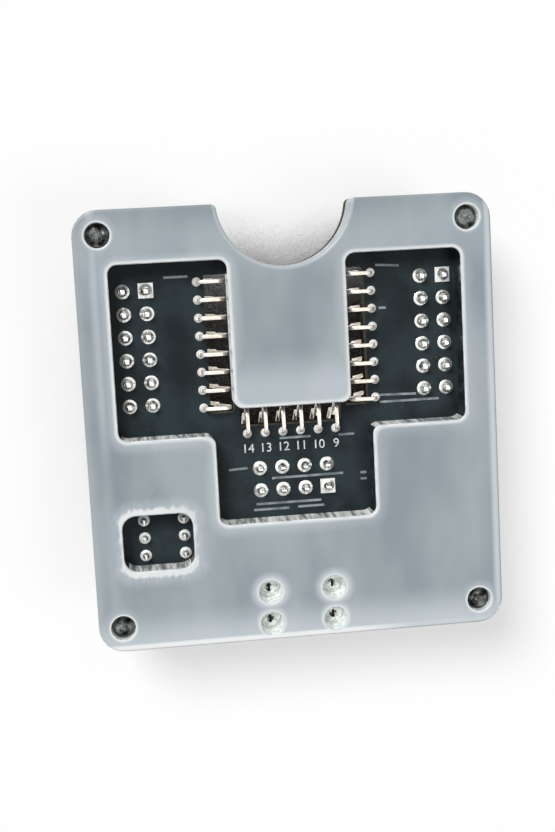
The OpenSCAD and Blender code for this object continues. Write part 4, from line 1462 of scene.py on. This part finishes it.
@dataclass
class SolderJoints:
    """Solder round the pins of one part: a dome that climbs the pin at its middle.

    The phases step from joint to joint, so that no two joints are alike. Each wave of lumps has its share,
    its count round the joint and its phase.
    """

    node: str
    pin_r: float
    finish: Finish = SOLDER
    neck_shade_w: float = 0.16
    climb: float = 0.6
    lean: float = 0.1
    lumps: float = 0.0
    profile_steps: int = 9
    turn_steps: int = 28
    rise: float = 1.06
    rise_spread: float = 0.07
    rise_phase: float = 2.3
    lean_phases: Place = (1.7, 2.9)
    lump_waves: tuple[tuple[float, float, float], ...] = ((1.0, 3.0, 2.1), (0.6, 7.0, 1.3))
    merge: float = 0.002
    smooth: float = 75.0

    def build(self) -> list[Piece]:
        """Spins a dome for each joint.

        Returns:
            The joints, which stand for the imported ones.
        """
        whole = bmesh.new()
        for i, box in enumerate(solids(self.node)):
            mesh = mesh_of("joint", self.dome(box, i))
            whole.from_mesh(mesh)
            bpy.data.meshes.remove(mesh)
        return [make_piece(self.node + "_joints", whole, (self.finish, NECK_SHADE), (self.node,),
                           smooth=self.smooth)]

    def dome(self, box: Box, number: int) -> BMesh:
        """Spins one dome, a little different from its neighbours.

        Args:
            box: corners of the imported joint.
            number: its place in the row.

        Returns:
            The dome's mesh.
        """
        low, high = box
        at = middle(box)
        radius = (high.x - low.x) / 2
        core = self.pin_r * MM
        spread = 1.0 + self.rise_spread * math.sin(self.rise_phase * number)
        height = (high.z - low.z) * self.rise * spread
        ball = (radius ** 2 + height ** 2) / (2 * height)
        bm = bmesh.new()
        outline = [(0.0, 0.0)]
        for k in range(self.profile_steps + 1):
            inward = math.sin(math.pi / 2 * k / self.profile_steps)
            away = radius - (radius - core) * inward
            dome = math.sqrt(ball ** 2 - away ** 2) - ball + height
            fillet = height * (1.0 - math.sqrt(1.0 - inward ** 2))
            outline.append((away, dome + (fillet - dome) * self.climb))
        outline.append((0.0, outline[-1][1]))
        verts = [bm.verts.new((at.x + away, at.y, high.z - rise)) for away, rise in outline]
        edges = [bm.edges.new(pair) for pair in zip(verts, verts[1:])]
        bmesh.ops.spin(bm, geom=[*verts, *edges], cent=at, axis=Z_AXIS, angle=math.tau,
                       steps=self.turn_steps, use_merge=True)
        bmesh.ops.remove_doubles(bm, verts=bm.verts, dist=self.merge * MM)
        across, along = (phase * number for phase in self.lean_phases)
        tilt = Vector((math.sin(across), math.cos(along), 0.0)) * self.lean * radius
        for vertex in bm.verts:
            up = (high.z - vertex.co.z) / height
            turn = math.atan2(vertex.co.y - at.y, vertex.co.x - at.x)
            vertex.co += tilt * up ** 2
            wave = sum(share * math.sin(count * turn + phase * number)
                       for share, count, phase in self.lump_waves)
            vertex.co.z -= self.lumps * up * (1.0 - up) * height * wave
        bmesh.ops.recalc_face_normals(bm, faces=bm.faces)
        # Faces near the pin take the painted neck shade.
        for face in bm.faces:
            away = (face.calc_center_median() - at).to_2d().length
            face.material_index = int(away < core + self.neck_shade_w * MM)
        return bm


@dataclass
class PinHeaders:
    """Two double-row pin headers."""

    block_radius: float = 0.08
    pin_radius: float = 0.04

    def build(self) -> list[Piece]:
        """Softens the blocks and the pins.

        Returns:
            The pieces of both headers.
        """
        parts = []
        for side in ("left", "right"):
            parts.append(SoftenedPart(side + "_header_block", HEADER, Slot.HEADER, self.block_radius))
            parts.append(SoftenedPart(side + "_header_pins", GILT_TAIL, Slot.GILT, self.pin_radius,
                                      segments=1))
        return [part.build() for part in parts]


@dataclass
class ModuleSocket:
    """Double-row socket for a plug-in module."""

    block_radius: float = 0.08
    contact_radius: float = 0.03

    def build(self) -> list[Piece]:
        """Softens the block and its contacts.

        Returns:
            The pieces.
        """
        parts = (SoftenedPart("socket_block", HEADER, Slot.HEADER, self.block_radius),
                 SoftenedPart("socket_contacts", GILT_TAIL, Slot.GILT, self.contact_radius, segments=1))
        return [part.build() for part in parts]


@dataclass
class UsbPort:
    """USB port: bent shell, insulator and contacts."""

    shell_radius: float = 0.09
    insulator_radius: float = 0.04
    contact_radius: float = 0.02

    def build(self) -> list[Piece]:
        """Softens the port's pieces.

        Returns:
            The pieces.
        """
        parts = (SoftenedPart("usb_shell", SHELL, Slot.SHELL, self.shell_radius),
                 SoftenedPart("usb_insulator", INSULATOR, Slot.INSULATOR, self.insulator_radius),
                 SoftenedPart("usb_contacts", GILT, Slot.GILT, self.contact_radius, segments=1))
        return [part.build() for part in parts]


@dataclass
class PushSwitch:
    """Push switch with a sprung plunger."""

    base_radius: float = 0.06
    cover_radius: float = 0.16
    cover_segments: int = 3
    stem_radius: float = 0.08
    terminal_radius: float = 0.03
    spring_keep: float = 0.365
    coil_smooth: float = 80.0

    def build(self) -> list[Piece]:
        """Softens the switch's pieces and gives the spring's coil a mesh of its own.

        Returns:
            The pieces.
        """
        coil = make_piece("switch_coil", packed_solid("switch_spring"), (SPRING,),
                          ("switch_spring",), smooth=self.coil_smooth)
        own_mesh(coil)
        parts = (SoftenedPart("switch_base", SWITCH_BASE, Slot.SWITCH_BASE, self.base_radius),
                 SoftenedPart("switch_cover", SWITCH_COVER, Slot.SWITCH_COVER, self.cover_radius,
                              self.cover_segments),
                 SoftenedPart("switch_plunger", PLUNGER, Slot.PLUNGER, self.stem_radius, body="plunger"),
                 SoftenedPart("switch_terminals", TIN, Slot.TIN, self.terminal_radius, segments=1))
        return [*(part.build() for part in parts), coil]


@dataclass
class BoardParts:
    """Chips, resistors, capacitors and lights on the component side."""

    body_radius: float = 0.05
    lead_radius: float = 0.03
    cap_radius: float = 0.05

    def build(self) -> list[Piece]:
        """Softens each part and gives it its finish.

        Returns:
            The pieces.
        """
        table = (("interface_chip_body", CHIP, Slot.CHIP, self.body_radius),
                 ("regulator_body", CHIP, Slot.CHIP, self.body_radius),
                 ("transistor_bodies", CHIP, Slot.CHIP, self.body_radius),
                 ("interface_chip_leads", TIN, Slot.TIN, self.lead_radius),
                 ("regulator_leads", TIN, Slot.TIN, self.lead_radius),
                 ("transistor_leads", TIN, Slot.TIN, self.lead_radius),
                 ("resistor_bodies", RESISTOR, Slot.RESISTOR, self.lead_radius),
                 ("resistor_caps", TIN, Slot.TIN, self.cap_radius),
                 ("capacitor_bodies", CAPACITOR, Slot.CAPACITOR, self.cap_radius),
                 ("capacitor_caps", TIN, Slot.TIN, self.cap_radius),
                 ("light_bodies", LIGHT, Slot.LIGHT, self.cap_radius),
                 ("light_caps", TIN, Slot.TIN, self.lead_radius))
        return [SoftenedPart(*row).build() for row in table]


@dataclass
class Studio:
    """Pale floors, soft lamps, a white surrounding and the camera.

    One floor lies under the back plate for views from above. The other lies under the pins for views of
    the back, as when the board is laid face down. Each shows from its own side only. Lengths are in
    millimetres.
    """

    camera_at: Point = (17.35, 19.35, -143.3)
    camera_target: Point = (1.835, 0.946, 0.0)
    camera_up: Point = (-0.0656, 0.9906, 0.1201)
    clip: Place = (1.0, 20000.0)
    focal_px: float = 1322.6
    frame_px: float = 832.0
    sensor: float = 36.0
    floor_half: float = 3000.0
    floor_gap: float = 0.05
    floor_color: str = "#ffffff"
    shade_color: str = "#1c1714"
    shade_reach: float = 30.0
    shade_range: Place = (0.3, 0.55)
    shade_samples: int = 8
    floor_glow: float = 0.6
    lamp_angle: float = 25.0
    key_below: Point = (0.5, 0.65, -1.0)
    fill_below: Point = (-0.6, -0.35, -1.0)
    key_above: Point = (-0.55, -0.6, 1.0)
    fill_above: Point = (0.8, 0.45, 0.9)
    key_level: float = 2.9
    fill_level: float = 0.45
    world_level: float = 0.15

    def build(self) -> None:
        """Sets up the studio."""
        low, high = CAD_BOX
        self.floor("floor_below", low.z - self.floor_gap * MM, False)
        self.floor("floor_above", high.z + self.floor_gap * MM, True)
        self.world()
        self.lamps()
        self.camera()
        bpy.context.scene.view_settings.view_transform = "Standard"

    def floor(self, name: str, level: float, looks_down: bool) -> None:
        """Lays a floor that shows from one side.

        Args:
            name: name of the floor.
            level: its height in metres.
            looks_down: whether its shown side faces down.
        """
        bm = bmesh.new()
        turn = Matrix.Rotation(math.pi if looks_down else 0.0, 4, "X")
        bmesh.ops.create_grid(bm, x_segments=1, y_segments=1, size=self.floor_half * MM,
                              matrix=Matrix.Translation((0.0, 0.0, level)) @ turn)
        mesh = mesh_of(name, bm)
        mesh.materials.append(self.floor_material(name))
        floor = show(name, mesh)
        floor.visible_shadow = False
        floor.visible_diffuse = False
        floor.visible_glossy = False
        floor.visible_transmission = False

    def floor_material(self, name: str) -> bpy.types.Material:
        """Makes a pale material that darkens near the board as painted shade and shows from its front
        only.

        Args:
            name: name of the material.

        Returns:
            The material.
        """
        material = bpy.data.materials.new(name)
        material.use_nodes = True
        nodes = material.node_tree.nodes
        nodes.remove(nodes["Principled BSDF"])
        tree = ShaderTree(material.node_tree)
        reach = {"Distance": self.shade_reach * MM}
        open_sky = tree.add("AmbientOcclusion", reach, samples=self.shade_samples)
        lightness = tree.ease(open_sky.outputs["AO"], *self.shade_range)
        color = tree.blend(lightness, tone(self.shade_color), tone(self.floor_color))
        pale = tree.add("BsdfDiffuse", {"Color": color}).outputs[0]
        glow = tree.add("Emission", {"Color": color}).outputs[0]
        seen = tree.add("LightPath").outputs["Is Camera Ray"]
        share = tree.calc("MULTIPLY", seen, self.floor_glow)
        lit = tree.add("MixShader", {0: share, 1: pale, 2: glow}).outputs[0]
        behind = tree.add("NewGeometry").outputs["Backfacing"]
        clear = tree.add("BsdfTransparent").outputs[0]
        one_sided = tree.add("MixShader", {0: behind, 1: lit, 2: clear}).outputs[0]
        tree.feed(nodes["Material Output"], {"Surface": one_sided})
        return material

    def world(self) -> None:
        """Makes a surrounding that looks white and lights softly."""
        world = bpy.data.worlds.new("surrounding")
        world.use_nodes = True
        bpy.context.scene.world = world
        tree = ShaderTree(world.node_tree)
        background = world.node_tree.nodes["Background"]
        path = tree.add("LightPath")
        rays = ("Is Camera Ray", "Is Glossy Ray", "Is Transmission Ray")
        seen = tree.join("MAXIMUM", *(path.outputs[ray] for ray in rays))
        seen = tree.calc("MULTIPLY", seen, tree.ease(path.outputs["Diffuse Depth"], 0.0, 1.0, 1.0, 0.0))
        strength = tree.ease(seen, 0.0, 1.0, self.world_level, 1.0)
        tree.feed(background, {"Color": (1.0, 1.0, 1.0, 1.0), "Strength": strength})

    def lamps(self) -> None:
        """Hangs a soft key and a soft fill lamp on each side of the board."""
        for name, toward, strength in (("key_below", self.key_below, self.key_level),
                                       ("fill_below", self.fill_below, self.fill_level),
                                       ("key_above", self.key_above, self.key_level),
                                       ("fill_above", self.fill_above, self.fill_level)):
            lamp = bpy.data.lights.new(name, "SUN")
            lamp.angle = math.radians(self.lamp_angle)
            lamp.energy = strength
            show(name, lamp).rotation_euler = (-Vector(toward)).to_track_quat("-Z", "Y").to_euler()

    def camera(self) -> None:
        """Places the camera where it sees the back as the photograph does."""
        data = bpy.data.cameras.new("camera")
        data.sensor_width = self.sensor
        data.lens = self.focal_px * self.sensor / self.frame_px
        data.clip_start, data.clip_end = (distance * MM for distance in self.clip)
        camera = show("camera", data)
        at = Vector(self.camera_at) * MM
        back = (at - Vector(self.camera_target) * MM).normalized()
        right = Vector(self.camera_up).cross(back).normalized()
        turn = Matrix((right, back.cross(right), back)).transposed().to_4x4()
        camera.matrix_world = Matrix.Translation(at) @ turn
        bpy.context.scene.camera = camera


def main() -> None:
    """Builds the board's sub-assemblies in order, then the studio."""
    logging.basicConfig(level=logging.INFO, format="%(name)s: %(message)s")
    assemblies = [BackPlate(), CircuitBoard(), BoardCopper(), BoardPrint(), CornerScrews(), PinHeaders(),
                  ModuleSocket(), *(SpringContacts(bank) for bank in Bank),
                  SolderJoints("header_solder", pin_r=0.4),
                  SolderJoints("socket_solder", pin_r=0.3),
                  SolderJoints("switch_solder", pin_r=0.3, finish=LIT_SOLDER, neck_shade_w=0.06),
                  SolderJoints("contact_solder", pin_r=0.25, finish=LIT_SOLDER, neck_shade_w=-0.25),
                  SolderJoints("usb_solder", pin_r=0.4, finish=LEG_SOLDER, neck_shade_w=0.02, climb=0.2,
                               lean=0.25, lumps=0.9),
                  UsbPort(), PushSwitch(), BoardParts()]
    for assembly in assemblies:
        pieces = assembly.build()
        LOG.info("%s: %d pieces", type(assembly).__name__, len(pieces))
    Studio().build()


if __name__ == "__main__":
    main()
